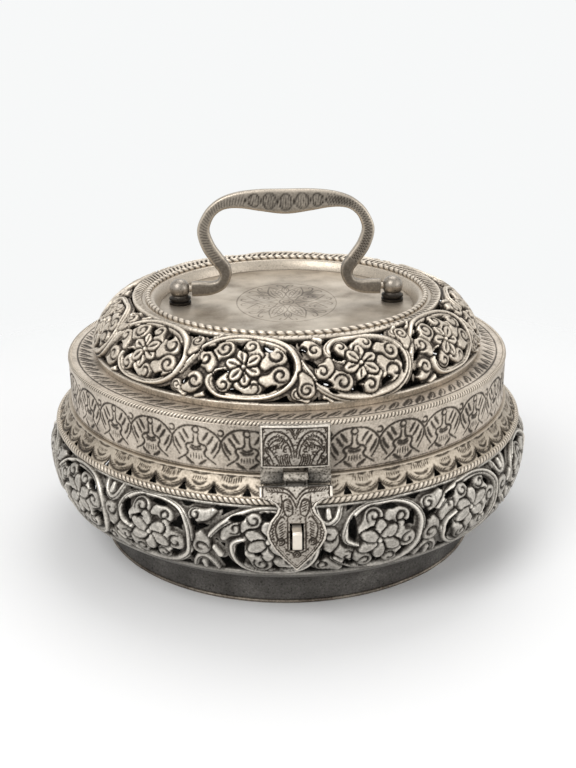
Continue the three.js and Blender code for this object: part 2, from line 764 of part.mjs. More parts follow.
// Hasp leaf: a strip bent to follow shoulder and bulge, cut to its outline, with a knuckle and a slot
function haspLeaf() {
  const barrelY = -barrelRadiusFromAxis;
  const middle = haspSide.map(([out, down]) => [-(bulgeRadius + haspStandOff + out), barrelZ + down]);
  const line = smoothLine(middle, 14);
  const front = beside(line, haspThickness / 2);
  const back = beside(line, -haspThickness / 2).reverse();
  const strip = alongX([...front, ...back], -haspBarHalf, haspBarHalf);

  const outline = new THREE.Shape();
  const topZ = barrelZ;
  outline.moveTo(-haspBarHalf, topZ);
  outline.lineTo(haspBarHalf, topZ);
  outline.lineTo(haspBarHalf, topZ - haspBarDrop);
  outline.bezierCurveTo(
    haspWaistHalf + 2.4, topZ - haspBarDrop,
    haspWaistHalf, topZ - haspWaistDrop + 1.6,
    haspWaistHalf, topZ - haspWaistDrop,
  );
  outline.bezierCurveTo(
    haspWaistHalf + 0.6, topZ - haspWaistDrop - 3,
    haspBellyHalf, topZ - haspBellyDrop + 4,
    haspBellyHalf, topZ - haspBellyDrop,
  );
  outline.quadraticCurveTo(haspBellyHalf - 0.6, topZ - haspBellyDrop - haspBellyCurve, 0, topZ - haspTipDrop);
  const bellyZ = topZ - haspBellyDrop;
  outline.quadraticCurveTo(-haspBellyHalf + 0.6, bellyZ - haspBellyCurve, -haspBellyHalf, bellyZ);
  outline.bezierCurveTo(
    -haspBellyHalf, topZ - haspBellyDrop + 4,
    -haspWaistHalf - 0.6, topZ - haspWaistDrop - 3,
    -haspWaistHalf, topZ - haspWaistDrop,
  );
  outline.bezierCurveTo(
    -haspWaistHalf, topZ - haspWaistDrop + 1.6,
    -haspWaistHalf - 2.4, topZ - haspBarDrop,
    -haspBarHalf, topZ - haspBarDrop,
  );
  outline.closePath();
  const slot = new THREE.Path();
  slot.moveTo(-haspSlotWidth / 2, topZ - haspSlotTop);
  slot.lineTo(-haspSlotWidth / 2, topZ - haspSlotBottom);
  slot.lineTo(haspSlotWidth / 2, topZ - haspSlotBottom);
  slot.lineTo(haspSlotWidth / 2, topZ - haspSlotTop);
  slot.closePath();
  outline.holes.push(slot);

  const stencil = alongY(outline, -bulgeRadius - 4 * cutReach, -seatOuterRadius + cutReach, 5);
  const leaf = overlap(strip, stencil);
  const room = rodAlongX(barrelRadius + knuckleGap, -frontPlateWidth, frontPlateWidth, barrelY, barrelZ);
  const half = haspKnuckleWidth / 2;
  const neck = alongX([
    [barrelY, barrelZ],
    [barrelY - barrelRadius, barrelZ],
    [line[1][0] - haspThickness / 2, line[1][1]],
    [line[1][0] + haspThickness / 2, line[1][1]],
    [barrelY + 0.2, barrelZ - barrelRadius * 0.9],
  ], -half, half);
  return cut(join(cut(leaf, room), knuckle(-half, half, barrelY), neck), pinBore(frontPlateWidth, barrelY));
}

function lidBand() {
  return turned([
    [bandInnerRadius, lidBottomZ],
    [lidRadius, lidBottomZ],
    [lidRadius, bandTopZ],
    [bandInnerRadius, bandTopZ],
  ]);
}

// Ledge: lies on the band and runs in under the gallery
function lidLedge() {
  const outerRadius = lidRopeRadius - lidRopeSize / Math.sqrt(3);
  return turned([
    [ledgeInnerRadius, bandTopZ],
    [outerRadius, bandTopZ],
    [outerRadius, ledgeTopZ],
    [ledgeInnerRadius, ledgeTopZ],
  ]);
}

// Lid rope: wire in the corner of band and ledge, parted at the front for the hinge plate
function lidRopeWire() {
  const wire = ringWire(lidRopeRadius, bandTopZ, lidRopeSize);
  const half = frontPlateWidth / 2 + cutGap;
  const [low, high] = [bandTopZ - lidRopeSize, ledgeTopZ + cutReach];
  return cut(wire, block(-half, half, -lidRadius - cutReach, 0, low, high));
}

// Gallery: a carved shell from its foot on the ledge over the crest to a lip on the flange, with
// eleven openwork panels
function lidGallery() {
  const points = [
    [galleryFootRadius, ledgeTopZ],
    ...galleryShape.map(([out, up]) => [galleryFootRadius + out, ledgeTopZ + up]),
    [galleryLipRadius, flangeZ],
  ];
  return openworkShell({
    face: smoothLine(points, 40),
    thickness: galleryThickness,
    below: [],
    above: galleryPlainRows,
    first: [[galleryFootRadius - groundDepth, ledgeTopZ], [galleryFootRadius - galleryThickness, ledgeTopZ]],
    last: [[galleryLipRadius, flangeZ], [galleryLipRadius + galleryThickness, flangeZ]],
    foot: [],
    panels: galleryPanels,
    firstTurn: galleryPanelTurn,
    crowding: 0,
    ringUp: galleryRingUp,
    ringHalfHeight: galleryRingHalfHeight,
  });
}

// Well wall: flange under the gallery's lip and the rope, then a short taper down to the plate
function lidWellWall() {
  const flangeRadius = galleryLipRadius + galleryThickness;
  return turned([
    [wellInnerRadius - wellTaper, plateTopZ],
    [plateRadius, plateTopZ],
    [wellInnerRadius + wellThickness, flangeZ - wellThickness],
    [flangeRadius, flangeZ - wellThickness],
    [flangeRadius, flangeZ],
    [wellInnerRadius, flangeZ],
  ], innerSides);
}

function lidInnerRope() {
  return ringWire(innerRopeRadius, flangeZ, innerRopeSize, innerSides);
}

// Top plate: a flat disc with a hole for the tail of each post
function lidTopPlate() {
  const disc = new THREE.Shape();
  disc.absarc(0, 0, plateRadius, 0, Math.PI * 2, false);
  [-1, 1].forEach((side) => {
    const hole = new THREE.Path();
    const middle = new THREE.Vector2((side * postSpacing) / 2, 0);
    for (let i = 0; i < smallSides; i += 1) {
      const turn = (-i / smallSides) * Math.PI * 2;
      const reach = postTailRadius + postHoleClearance;
      const point = new THREE.Vector2(reach * Math.cos(turn), reach * Math.sin(turn)).add(middle);
      if (i === 0) hole.moveTo(point.x, point.y);
      else hole.lineTo(point.x, point.y);
    }
    hole.closePath();
    disc.holes.push(hole);
  });
  const plate = new THREE.ExtrudeGeometry(disc, {
    depth: topPlateThickness,
    bevelEnabled: false,
    curveSegments: innerSides,
  });
  return plate.translate(0, 0, plateBottomZ);
}

// Bail post: grooved collar and ball, drilled for the bail, with a riveted tail under the plate
function bailPost(side) {
  const tailTop = plateBottomZ - washerThickness;
  const collarTop = plateTopZ + postCollarHeight;
  const profile = [
    [0, tailTop - postTailHeadHeight],
    [postTailHead * 0.8, tailTop - postTailHeadHeight],
    [postTailHead, tailTop],
    [postTailRadius, tailTop],
    [postTailRadius, plateTopZ],
    [postCollarRadius, plateTopZ],
    [postCollarRadius, plateTopZ + postCollarHeight * 0.4],
    [postCollarRadius - postGroove, plateTopZ + postCollarHeight * 0.5],
    [postCollarRadius, plateTopZ + postCollarHeight * 0.6],
    [postCollarRadius, collarTop - postGroove],
    [postNeckRadius, collarTop],
  ];
  const lowest = -Math.acos(postNeckRadius / postBallRadius);
  const ballSteps = 6;
  for (let i = 0; i < ballSteps; i += 1) {
    const turn = THREE.MathUtils.lerp(lowest, Math.PI / 2, i / ballSteps);
    profile.push([postBallRadius * Math.cos(turn), pivotZ + postBallRadius * Math.sin(turn)]);
  }
  profile.push([0, pivotZ + postBallRadius]);
  const x = (side * postSpacing) / 2;
  const post = turned(profile, smallSides).translate(x, 0, 0);
  const deep = Math.sign(side) * (bailPivotLength - bailEndGap - postBallRadius + cutGap);
  const inwards = x - side * (postBallRadius + 2);
  const bore = rodAlongX(
    bailPivotRadius + pinClearance + 0.02,
    Math.min(x + deep, inwards), Math.max(x + deep, inwards), 0, pivotZ,
  );
  return cut(post, bore);
}

function bailWasher(side) {
  const ring = turned([
    [postTailRadius + postHoleClearance, plateBottomZ - washerThickness],
    [washerRadius, plateBottomZ - washerThickness],
    [washerRadius, plateBottomZ],
    [postTailRadius + postHoleClearance, plateBottomZ],
  ], smallSides);
  return ring.translate((side * postSpacing) / 2, 0, 0);
}

// Bail: a flat bow of changing width, swept in at the necks, with a pivot on each end
function bailHandle() {
  const endX = postSpacing / 2 - postBallRadius - bailEndGap;
  const path = [
    [0, gripRise, gripHalfWidth],
    ...bailPath.map(([inwards, up, half]) => [endX * (1 - inwards), up, half]),
    [endX, -bailEndDrop, bailEndHalfWidth],
  ];
  const centre = smoothLine(path.map(([x, z]) => [x, z]), bailSteps);
  const widths = smoothLine(path.map((point, i) => [i, point[2]]), bailSteps).map((point) => point[1]);
  const outerRight = beside(centre, widths);
  const innerRight = beside(centre, widths.map((width) => -width));
  outerRight[bailSteps] = [endX, -bailEndDrop + bailEndHalfWidth];
  innerRight[bailSteps] = [endX, -bailEndDrop - bailEndHalfWidth];
  const mirrored = (line) => line.slice(1).map(([x, z]) => [-x, z]);
  const outline = [
    ...outerRight,
    ...innerRight.slice().reverse(),
    ...mirrored(innerRight),
    ...mirrored(outerRight).reverse(),
  ];
  const shape = new THREE.Shape(outline.map(([x, z]) => new THREE.Vector2(x, pivotZ + z)));
  const bow = new THREE.ExtrudeGeometry(shape, {
    depth: bailDepth - 2 * bailBevel,
    bevelEnabled: true,
    bevelThickness: bailBevel,
    bevelSize: bailBevel,
    bevelOffset: -bailBevel,
    bevelSegments: 1,
  }).rotateX(Math.PI / 2).translate(0, bailDepth / 2 - bailBevel, 0);
  const pivots = [-1, 1].map((side) => {
    const bedded = side * (endX - bailPivotBedding);
    const tip = side * (endX + bailPivotLength);
    return rodAlongX(bailPivotRadius, Math.min(bedded, tip), Math.max(bedded, tip), 0, pivotZ);
  });
  return join(bow, ...pivots);
}

const box = new THREE.Group();

function add(name, geometry, finish) {
  const mesh = new THREE.Mesh(closedBody(geometry), new THREE.MeshStandardMaterial(finish));
  mesh.geometry.computeVertexNormals();
  mesh.name = name;
  box.add(mesh);
}

add('foot_wire', footWire(), finishes.wire);
add('foot_ring', footRing(), finishes.darkSilver);
add('base_plate', basePlate(), finishes.darkSilver);
add('body_wall', bodyWall(), finishes.silver);
add('body_rope_wire', bodyRopeWire(), finishes.wire);
add('shoulder_band', shoulderBand(), finishes.warmSilver);
add('body_rim', bodyRim(), finishes.darkSilver);
add('staple', staple(), finishes.warmSilver);
add('rear_hinge_body_leaf', rearHingeBodyLeaf(), finishes.silver);
add('rear_hinge_pin', rearHingePin(), finishes.wire);
add('lid_band', lidBand(), finishes.silver);
add('lid_ledge', lidLedge(), finishes.silver);
add('lid_rope_wire', lidRopeWire(), finishes.wire);
add('lid_gallery', lidGallery(), finishes.silver);
add('lid_well_wall', lidWellWall(), finishes.silver);
add('lid_inner_rope', lidInnerRope(), finishes.wire);
add('lid_top_plate', lidTopPlate(), finishes.warmSilver);
add('bail_post_left', bailPost(-1), finishes.warmSilver);
add('bail_post_right', bailPost(1), finishes.warmSilver);
add('bail_washer_left', bailWasher(-1), finishes.silver);
add('bail_washer_right', bailWasher(1), finishes.silver);
add('hasp_hinge_plate', haspHingePlate(), finishes.silver);
add('hasp_pin', haspPin(), finishes.wire);
add('rear_hinge_lid_leaf', rearHingeLidLeaf(), finishes.silver);
add('bail_handle', bailHandle(), finishes.silver);
add('hasp_leaf', haspLeaf(), finishes.silver);

export default box;
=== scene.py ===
# %% [markdown]
# # A lidded silver box
#
# The real object is a round box of sheet silver. Its wall and the gallery of its lid are openwork:
# a silversmith raises flowers and curling leaves with punches, cuts the ground away between them
# with a fret saw, and rubs black into the hollows. The other bands are only engraved.
# The solids of the box come from its frame, with every size and place. This script dresses them.

# %% Load the frame
import math

import bpy
import numpy as np
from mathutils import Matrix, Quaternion, Vector


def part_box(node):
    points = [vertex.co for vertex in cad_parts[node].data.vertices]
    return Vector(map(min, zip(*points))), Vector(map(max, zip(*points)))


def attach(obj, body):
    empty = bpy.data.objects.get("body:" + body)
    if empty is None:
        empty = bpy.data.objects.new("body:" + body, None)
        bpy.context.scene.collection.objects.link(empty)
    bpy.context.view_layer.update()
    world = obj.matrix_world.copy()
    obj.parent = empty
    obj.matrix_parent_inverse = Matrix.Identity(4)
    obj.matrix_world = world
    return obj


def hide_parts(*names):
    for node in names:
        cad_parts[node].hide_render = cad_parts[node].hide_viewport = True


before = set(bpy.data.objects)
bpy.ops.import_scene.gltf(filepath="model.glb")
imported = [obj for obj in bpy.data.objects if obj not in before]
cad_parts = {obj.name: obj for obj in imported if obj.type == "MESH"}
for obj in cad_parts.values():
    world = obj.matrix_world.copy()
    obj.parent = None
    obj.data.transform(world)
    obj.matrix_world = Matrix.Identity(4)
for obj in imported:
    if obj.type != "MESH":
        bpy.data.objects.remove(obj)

scene = bpy.context.scene
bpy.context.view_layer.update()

# %% [markdown]
# ## Sizes from the frame
#
# All drawing below is done in millimetres, as a silversmith would, and turned into metres when a
# mesh is filled. The sizes are read from the boxes of the solids, so the dress always fits them.

# %% Sizes in millimetres
MM = 0.001
X, Y, Z = 0, 1, 2


def low(cad, axis):
    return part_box(cad)[0][axis] / MM


def high(cad, axis):
    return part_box(cad)[1][axis] / MM


foot_sheet, bulge_out, bulge_up, ball_radius, pin_radius = 1.5, 19.0, 29.7, 4.8, 1
foot_inner_radius = high("base_plate", X)
foot_radius = foot_inner_radius + foot_sheet
wall_foot_radius, wall_foot_z = high("foot_ring", X), low("body_wall", Z)
bulge_radius, bulge_z = wall_foot_radius + bulge_out, wall_foot_z + bulge_up
wall_top_z = high("body_wall", Z)
rope_corner = (high("body_rope_wire", Z) - low("body_rope_wire", Z)) / math.sqrt(3)
wall_top_radius = high("body_rope_wire", X) - rope_corner
seat_z = high("shoulder_band", Z)
lid_radius, plate_radius = high("lid_band", X), high("lid_top_plate", X)
ledge_z, flange_z, plate_z = high("lid_ledge", Z), high("lid_well_wall", Z), high("lid_top_plate", Z)
post_x = (low("bail_post_right", X) + high("bail_post_right", X)) / 2
pivot_z = high("bail_post_right", Z) - ball_radius
barrel_y, barrel_z = low("hasp_pin", Y) + pin_radius, low("hasp_pin", Z) + pin_radius
print("bulge", bulge_radius, "lid", lid_radius, "pivot", pivot_z, "barrel", barrel_y, barrel_z)

# %% [markdown]
# ## Old silver
#
# Silver that has been handled for a century is bright only on its high places. The hollows keep a
# brown-black film. Every worked piece therefore carries an attribute which runs from 0 in a groove
# to 1 on a rubbed ridge, and which also holds painted shade on the flanks and slopes of forms, and
# one of painted shade, which darkens whole bands and the places under and beside other parts. The
# finish reads both, adds stains and a fine grain by noise, and lets roughness follow the first.
# An attribute was chosen over a painted picture because it comes straight from the relief.

# %% Nodes
def feed(tree, socket, value):
    """Give a socket a constant, or link the output of another node to it."""
    if isinstance(value, bpy.types.NodeSocket):
        tree.links.new(value, socket)
    else:
        socket.default_value = value


def node(tree, kind, feeds=None, **settings):
    made = tree.nodes.new(kind)
    for key, value in settings.items():
        setattr(made, key, value)
    for key, value in (feeds or {}).items():
        feed(tree, made.inputs[key], value)
    return made


def math_node(tree, operation, first, second):
    return node(tree, "ShaderNodeMath", {0: first, 1: second}, operation=operation).outputs[0]


def noise(tree, place, grain_mm, detail):
    feeds = {"Scale": 1 / (grain_mm * MM), "Detail": detail, "Vector": place}
    return node(tree, "ShaderNodeTexNoise", feeds).outputs["Fac"]


def node_material(name):
    material = bpy.data.materials.new(name)
    material.use_nodes = True
    return material, material.node_tree, material.node_tree.nodes["Principled BSDF"]


# %% [markdown]
# ## One recipe for every finish
#
# Every piece is the same metal, only darker or more worn than the next. So one function builds all
# finishes, and only shades and amounts change. Finishes built one by one would drift apart.

# %% The silver finish
# The grain of each noise in millimetres, and the share of the surface that is pitted
STAIN_MM, TARNISH_MM, PIT_MM, GRAIN_MM, HAMMER_MM = 17, 26, 1.0, 0.9, 0.55
PITTED = 0.34
YELLOW = (1.0, 0.86, 0.62, 1)


def old_silver(name, shades, rough=(0.62, 0.34), metal=0.8, stain=0.3, grain=0.25, base=None,
               pits=0.0, bump_mm=0.05, warm=0.0):
    """shades runs from the deepest hollow to the brightest ridge. A base is for pieces that don't
    carry the attributes, and stands in for their polish."""
    material, tree, shader = node_material(name)
    place = node(tree, "ShaderNodeTexCoord").outputs["Object"]

    def attribute(key):
        return node(tree, "ShaderNodeAttribute", attribute_name=key).outputs["Fac"]

    def swing(grain_mm, detail, amount):
        centred = math_node(tree, "SUBTRACT", noise(tree, place, grain_mm, detail), 0.5)
        return math_node(tree, "MULTIPLY", centred, amount)

    def tinted(share, first, second):
        feeds = {"Factor": share, "A": first, "B": second}
        mixed = node(tree, "ShaderNodeMix", feeds, data_type="RGBA", blend_type="MULTIPLY")
        return mixed.outputs["Result"]

    level = math_node(tree, "ADD", swing(STAIN_MM, 4, stain), swing(GRAIN_MM, 2, grain))
    level = math_node(tree, "ADD", level, attribute("polish_and_shade") if base is None else base)
    if pits:
        deep = math_node(tree, "LESS_THAN", noise(tree, place, PIT_MM, 1), PITTED)
        level = math_node(tree, "SUBTRACT", level, math_node(tree, "MULTIPLY", deep, pits))
    ramp = node(tree, "ShaderNodeValToRGB", {"Fac": level})
    stops = ramp.color_ramp.elements
    while len(stops) < len(shades):
        stops.new(0.5)
    for stop, (at, shade) in zip(stops, shades):
        stop.position = at
        stop.color = (*shade, 1)
    colour = ramp.outputs["Color"]
    if warm:
        share = math_node(tree, "MULTIPLY", noise(tree, place, TARNISH_MM, 2), warm)
        colour = tinted(share, colour, YELLOW)
    # Worked pieces are multiplied by their painted shade.
    if base is None:
        colour = tinted(1, colour, attribute("tone"))
    gloss = node(tree, "ShaderNodeMapRange",
                 {"Value": level, "To Min": rough[0], "To Max": rough[1]})
    bump = node(tree, "ShaderNodeBump",
                {"Distance": bump_mm * MM, "Height": noise(tree, place, HAMMER_MM, 3)})
    for key, value in (("Base Color", colour), ("Roughness", gloss.outputs[0]),
                       ("Metallic", metal), ("Normal", bump.outputs[0])):
        feed(tree, shader.inputs[key], value)
    return material


HOLLOW = (0.022, 0.017, 0.013)
BROWN = (0.090, 0.072, 0.056)
GREY = (0.27, 0.232, 0.188)
PALE = (0.54, 0.47, 0.385)
BRIGHT = (0.90, 0.81, 0.69)
chased = old_silver(
    "chased_silver", ((0.0, HOLLOW), (0.2, BROWN), (0.38, GREY), (0.61, PALE), (0.98, BRIGHT)),
    grain=0.6, stain=0.45, metal=0.72, bump_mm=0.11)
wall_silver = old_silver(
    "wall_silver", ((0.0, HOLLOW), (0.2, (0.078, 0.068, 0.057)), (0.42, (0.22, 0.202, 0.176)),
                    (0.66, (0.44, 0.41, 0.365)), (0.98, (0.80, 0.75, 0.67))),
    grain=0.6, metal=0.72, bump_mm=0.09)
engraved = old_silver(
    "engraved_silver", ((0.0, (0.05, 0.041, 0.033)), (0.22, (0.12, 0.1, 0.08)),
                        (0.5, (0.53, 0.462, 0.385)), (0.75, (0.76, 0.68, 0.585)), (1.0, BRIGHT)),
    grain=0.5, stain=0.7, bump_mm=0.1)
warm_silver = old_silver(
    "warm_silver", ((0.0, (0.05, 0.041, 0.033)), (0.22, (0.13, 0.106, 0.08)),
                    (0.5, (0.42, 0.365, 0.298)), (0.78, (0.61, 0.54, 0.45)), (1.0, BRIGHT)),
    grain=0.45, stain=0.5, warm=0.2, bump_mm=0.08)
dark_silver = old_silver(
    "dark_silver", ((0.0, HOLLOW), (0.3, (0.040, 0.036, 0.032)), (0.6, (0.115, 0.107, 0.098)),
                    (1.0, (0.34, 0.32, 0.29))),
    rough=(0.72, 0.42), base=0.58, pits=0.2, stain=0.6, grain=0.45, bump_mm=0.12)
plate_silver = old_silver(
    "plate_silver", ((0.0, BROWN), (0.3, GREY), (0.55, (0.46, 0.407, 0.345)),
                     (1.0, (0.69, 0.63, 0.55))),
    rough=(0.5, 0.3), stain=1.5, grain=0.2, bump_mm=0.02, warm=0.4)
plain_silver = old_silver(
    "plain_silver", ((0.0, BROWN), (0.35, GREY), (0.7, PALE), (1.0, BRIGHT)),
    rough=(0.5, 0.28), base=0.62, grain=0.4, pits=0.15)
# Painted highlight: the staple's strap is given a brighter silver than the other plain pieces.
strap_highlight_silver = old_silver(
    "strap_highlight_silver", ((0.0, GREY), (0.5, (0.72, 0.66, 0.58)), (1.0, BRIGHT)),
    rough=(0.45, 0.3), base=0.7, grain=0.3)
post_silver = old_silver(
    "post_silver", ((0.0, HOLLOW), (0.35, (0.10, 0.085, 0.07)), (0.65, (0.30, 0.265, 0.225)),
                    (1.0, PALE)),
    rough=(0.5, 0.24), grain=0.4, pits=0.15)
edge_silver = old_silver(
    "edge_silver", ((0.0, HOLLOW), (0.4, BROWN), (0.7, GREY), (1.0, PALE)),
    base=0.55, grain=0.6, stain=0.7)
hinge_silver = old_silver(
    "hinge_silver", ((0.0, (0.03, 0.025, 0.02)), (0.22, BROWN), (0.5, (0.41, 0.37, 0.32)),
                     (0.8, (0.66, 0.61, 0.54)), (1.0, BRIGHT)),
    grain=0.65, bump_mm=0.12)
barrel_silver = old_silver(
    "barrel_silver", ((0.0, HOLLOW), (0.36, (0.10, 0.088, 0.072)), (0.48, (0.30, 0.27, 0.23)),
                      (0.62, (0.48, 0.44, 0.385)), (1.0, PALE)),
    rough=(0.75, 0.6), grain=0.95, bump_mm=0.2)
bail_silver = old_silver(
    "bail_silver", ((0.0, HOLLOW), (0.22, (0.06, 0.05, 0.04)), (0.5, (0.19, 0.166, 0.138)),
                    (0.92, PALE), (1.0, BRIGHT)),
    grain=0.35, stain=0.4, bump_mm=0.06)
rope_silver = old_silver(
    "rope_silver", ((0.0, HOLLOW), (0.25, BROWN), (0.5, GREY), (0.78, PALE), (1.0, BRIGHT)),
    stain=0.25, grain=0.2)
print("finishes", [m.name for m in bpy.data.materials])

# %% [markdown]
# ## Chasing on a flat sheet
#
# A band of the box can be drawn flat, worked, and then bent to its place, just as the smith does it.
# The Relief below is such a flat sheet: a field of heights with x along the band and y up it.
# Forms are laid on it in order, each with the thin sunk line that a chasing tool leaves round it,
# and grooves are cut into it. Where no form is near, the sheet can be sawn out. Sculpting by hand
# would give the same surface, but a field repeats exactly where two sections of a band meet.

# %% A curve through listed points
def smooth_line(points, steps=8):
    p = np.asarray(points, float)
    p = np.vstack([2 * p[0] - p[1], p, 2 * p[-1] - p[-2]])
    t = np.linspace(0, 1, steps, endpoint=False)[:, None]
    parts = []
    for a, b, c, d in zip(p[:-3], p[1:-2], p[2:-1], p[3:]):
        bend = (2 * a - 5 * b + 4 * c - d) * t ** 2 + (3 * b - a - 3 * c + d) * t ** 3
        parts.append(b + ((c - a) * t + bend) / 2)
    return np.vstack([*parts, p[-2:-1]])


def spread(values, count):
    """Stretch a few values evenly over the points of a line."""
    return np.interp(np.linspace(0, 1, count), np.linspace(0, 1, len(values)), values)


def quarter_round(depth_inside, edge):
    """Rises like a quarter circle from the outline of a form to its top."""
    share = np.clip(depth_inside / edge, 0, 1)
    return np.sqrt(1 - (1 - share) ** 2)


def ridge(distance, width):
    """A soft ridge, 1 at its middle."""
    return np.exp(-(distance / width) ** 2)


# %% [markdown]
# ## The chaser's tools
#
# A chaser lays out stems and leaves, cuts lines with a graver and opens gaps with a fret saw. Each
# of these is a method of the sheet. A tool only touches the points near its line, because a section
# has tens of thousands of them.

# %% The flat sheet and the tools that work it
class Relief:
    """gap is the distance to the nearest form, and sawn and air are over 0 where metal is gone.
    The columns of the pad lie beyond the seams and are dropped when the sheet is made."""
    FAR, MOAT = 9.0, 0.4

    def __init__(self, x, y, pad=0):
        self.x, self.y, self.pad = x, y, pad
        self.across, self.up = np.meshgrid(x, y)
        shape = self.up.shape
        self.height, self.cut, self.tone = np.zeros(shape), np.zeros(shape), np.ones(shape)
        self.gap = np.full(shape, self.FAR)
        self.air, self.sawn = np.full(shape, -self.FAR), np.full(shape, -self.FAR)

    def measure(self, points, halves, reach):
        """Near a line: the place in the sheet, how far outside the line, how far off its middle."""
        start, end = np.min(points, 0) - reach, np.max(points, 0) + reach
        across = slice(*np.searchsorted(self.x, (start[0], end[0])))
        up = slice(*np.searchsorted(self.y, (start[1], end[1])))
        x, y = self.x[across][None, :], self.y[up][:, None]
        spot = (up, across)
        gap = np.full(self.height[spot].shape, 99.0)
        side = np.zeros(gap.shape)
        for k in range(len(points) - 1) if gap.size else ():
            (ax, ay), (bx, by) = points[k], points[k + 1]
            dx, dy = bx - ax, by - ay
            run = np.hypot(dx, dy) + 1e-6
            t = np.clip(((x - ax) * dx + (y - ay) * dy) / run ** 2, 0, 1)
            off_x, off_y = x - ax - t * dx, y - ay - t * dy
            half = halves[k] + (halves[k + 1] - halves[k]) * t
            away = np.hypot(off_x, off_y)
            closer = away - half < gap
            gap = np.where(closer, away - half, gap)
            side = np.where(closer, np.sign(dx * off_y - dy * off_x) * away / half, side)
        return spot, gap, side

    def lay(self, spot, gap, rise, moat=MOAT, flank_shade=0.0, flank_wide=0.8):
        """A raised form on the sheet, with a chased line round it and painted shade on its flanks."""
        height, cut = self.height[spot], self.cut[spot]
        inside = gap < 0
        edge = ~inside & (gap < moat)
        height[edge] = np.minimum(height[edge], 0)
        # Painted shade: the flanks darken, most at the outline and less further in.
        cut[inside] = flank_shade * np.clip(1 + gap[inside] / flank_wide, 0, 1)
        height[inside] = rise[inside]
        self.gap[spot] = np.minimum(self.gap[spot], np.maximum(gap, 0))

    def stem(self, points, halves, top, channel):
        """A stem with a round back and a channel a little off its middle."""
        line = smooth_line(points)
        halves = spread(halves, len(line))
        spot, gap, side = self.measure(line, halves, halves.max() + 3)
        back = np.clip(1 - side ** 2, 0, 1) ** 0.4
        groove = ridge(side + 0.3, 0.2)
        self.lay(spot, gap, top * back * (1 - channel * groove))
        self.cut[spot] = np.maximum(self.cut[spot], 1.4 * channel * groove * (gap < 0))

    def plateau(self, points, halves, top, edge, dome=0.2):
        """A form with a rounded edge and a low dome."""
        line = smooth_line(points, 5)
        halves = spread(halves, len(line))
        spot, gap, side = self.measure(line, halves, halves.max() + 3)
        crown = dome * np.clip(1 - side ** 2, 0, 1)
        rise = (top - dome) * quarter_round(-gap, edge) + crown
        # The plateau's flanks get painted shade.
        self.lay(spot, gap, rise, flank_shade=0.6, flank_wide=1.7 * edge)

    def incise(self, points, half, depth, steps=6):
        """A line cut with a graver, thin at its ends."""
        line = smooth_line(points, steps)
        taper = np.sin(np.linspace(0.25, 2.9, len(line))) * 1.3
        halves = half * np.clip(taper, 0.45, 1)
        spot, gap, side = self.measure(line, halves, half + 0.6)
        self.height[spot] -= depth * np.clip(1 - side ** 2, 0, 1)
        self.cut[spot] = np.maximum(self.cut[spot], np.clip(0.6 - gap / half * 0.5, 0, 1))

    def engrave(self, strokes, place):
        """Each stroke is half its width, its depth, its steps and its points."""
        for half, depth, steps, *points in strokes:
            self.incise([place(x, y) for x, y in points], half, depth, steps)

    def saw(self, points, half):
        """A gap pointed at its ends, cut through whatever lies there."""
        line = smooth_line(points, 5)
        taper = np.sin(np.linspace(0.15, 2.99, len(line))) * 1.3
        spot, gap, side = self.measure(line, half * np.clip(taper, 0.3, 1), half + 2)
        self.sawn[spot] = np.maximum(self.sawn[spot], -gap)

    def ease_edges(self, width):
        """Rub the metal down beside the sawn gaps."""
        near = quarter_round(np.clip(-self.sawn, 0, width), width)
        self.height *= 0.35 + 0.65 * near
        self.cut = np.maximum(self.cut, 0.55 * (1 - near))

    def polish_and_shade(self):
        """Bright where the sheet stands over its neighbourhood, dark in hollows, and darker on steep
        slopes and on the flanks of forms as painted shade.
        """
        cell = self.x[1] - self.x[0]
        fine, broad = (self.height - soften(self.height, max(1, round(reach / cell)))
                       for reach in (0.8, 2.2))
        slope = np.hypot(*np.gradient(self.height, cell))
        # The slope term and the shaded flanks in cut are painted shade.
        shine = 0.5 + 0.38 * fine + 0.25 * broad - 0.05 * slope - 0.42 * self.cut
        return np.clip(shine, 0.05, 1)


def soften(field, reach):
    for axis in (0, 1):
        for _ in range(2):
            ends = [(reach + 1, reach) if k == axis else (0, 0) for k in (0, 1)]
            total = np.cumsum(np.pad(field, ends, mode="edge"), axis)
            far = np.take(total, range(2 * reach + 1, total.shape[axis]), axis)
            near = np.take(total, range(0, total.shape[axis] - 2 * reach - 1), axis)
            field = (far - near) / (2 * reach + 1)
    return field


# %% [markdown]
# ## From the flat sheet to a bent and sawn one
#
# Blender's grid primitive is the blank. Its points are carried to the surface of the band, the
# faces that lie in the sawn gaps are deleted, and the points on the edge of a gap are first slid on
# to the drawn outline so that the saw cut is smooth. Solidify gives the sheet its thickness, and
# only then are the outer points raised, so that the back stays even. A displace modifier would need
# an image and would lift the edges of the gaps as well.

# %% Short names for Blender's tools
def deselect():
    bpy.ops.object.select_all(action="DESELECT")


def pick(piece):
    deselect()
    piece.select_set(True)
    bpy.context.view_layer.objects.active = piece


def blank(name, primitive, **settings):
    """A primitive under its piece's name, to be worked on."""
    deselect()
    primitive(**settings)
    piece = bpy.context.object
    piece.name = piece.data.name = name
    return piece


def grid(name, columns, rows):
    return blank(name, bpy.ops.mesh.primitive_grid_add, x_subdivisions=columns,
                 y_subdivisions=rows, size=1)


def read(data, key, width):
    values = np.empty(len(data) * width, np.float32)
    data.foreach_get(key, values)
    return values.reshape(-1, width) if width > 1 else values


def set_points(piece, place):
    """place is in millimetres."""
    piece.data.vertices.foreach_set("co", (place * MM).astype(np.float32).ravel())


def put_attribute(mesh, name, values):
    made = mesh.attributes.new(name, "FLOAT_VECTOR" if values.ndim > 1 else "FLOAT", "POINT")
    key = "vector" if values.ndim > 1 else "value"
    made.data.foreach_set(key, values.astype(np.float32).ravel())


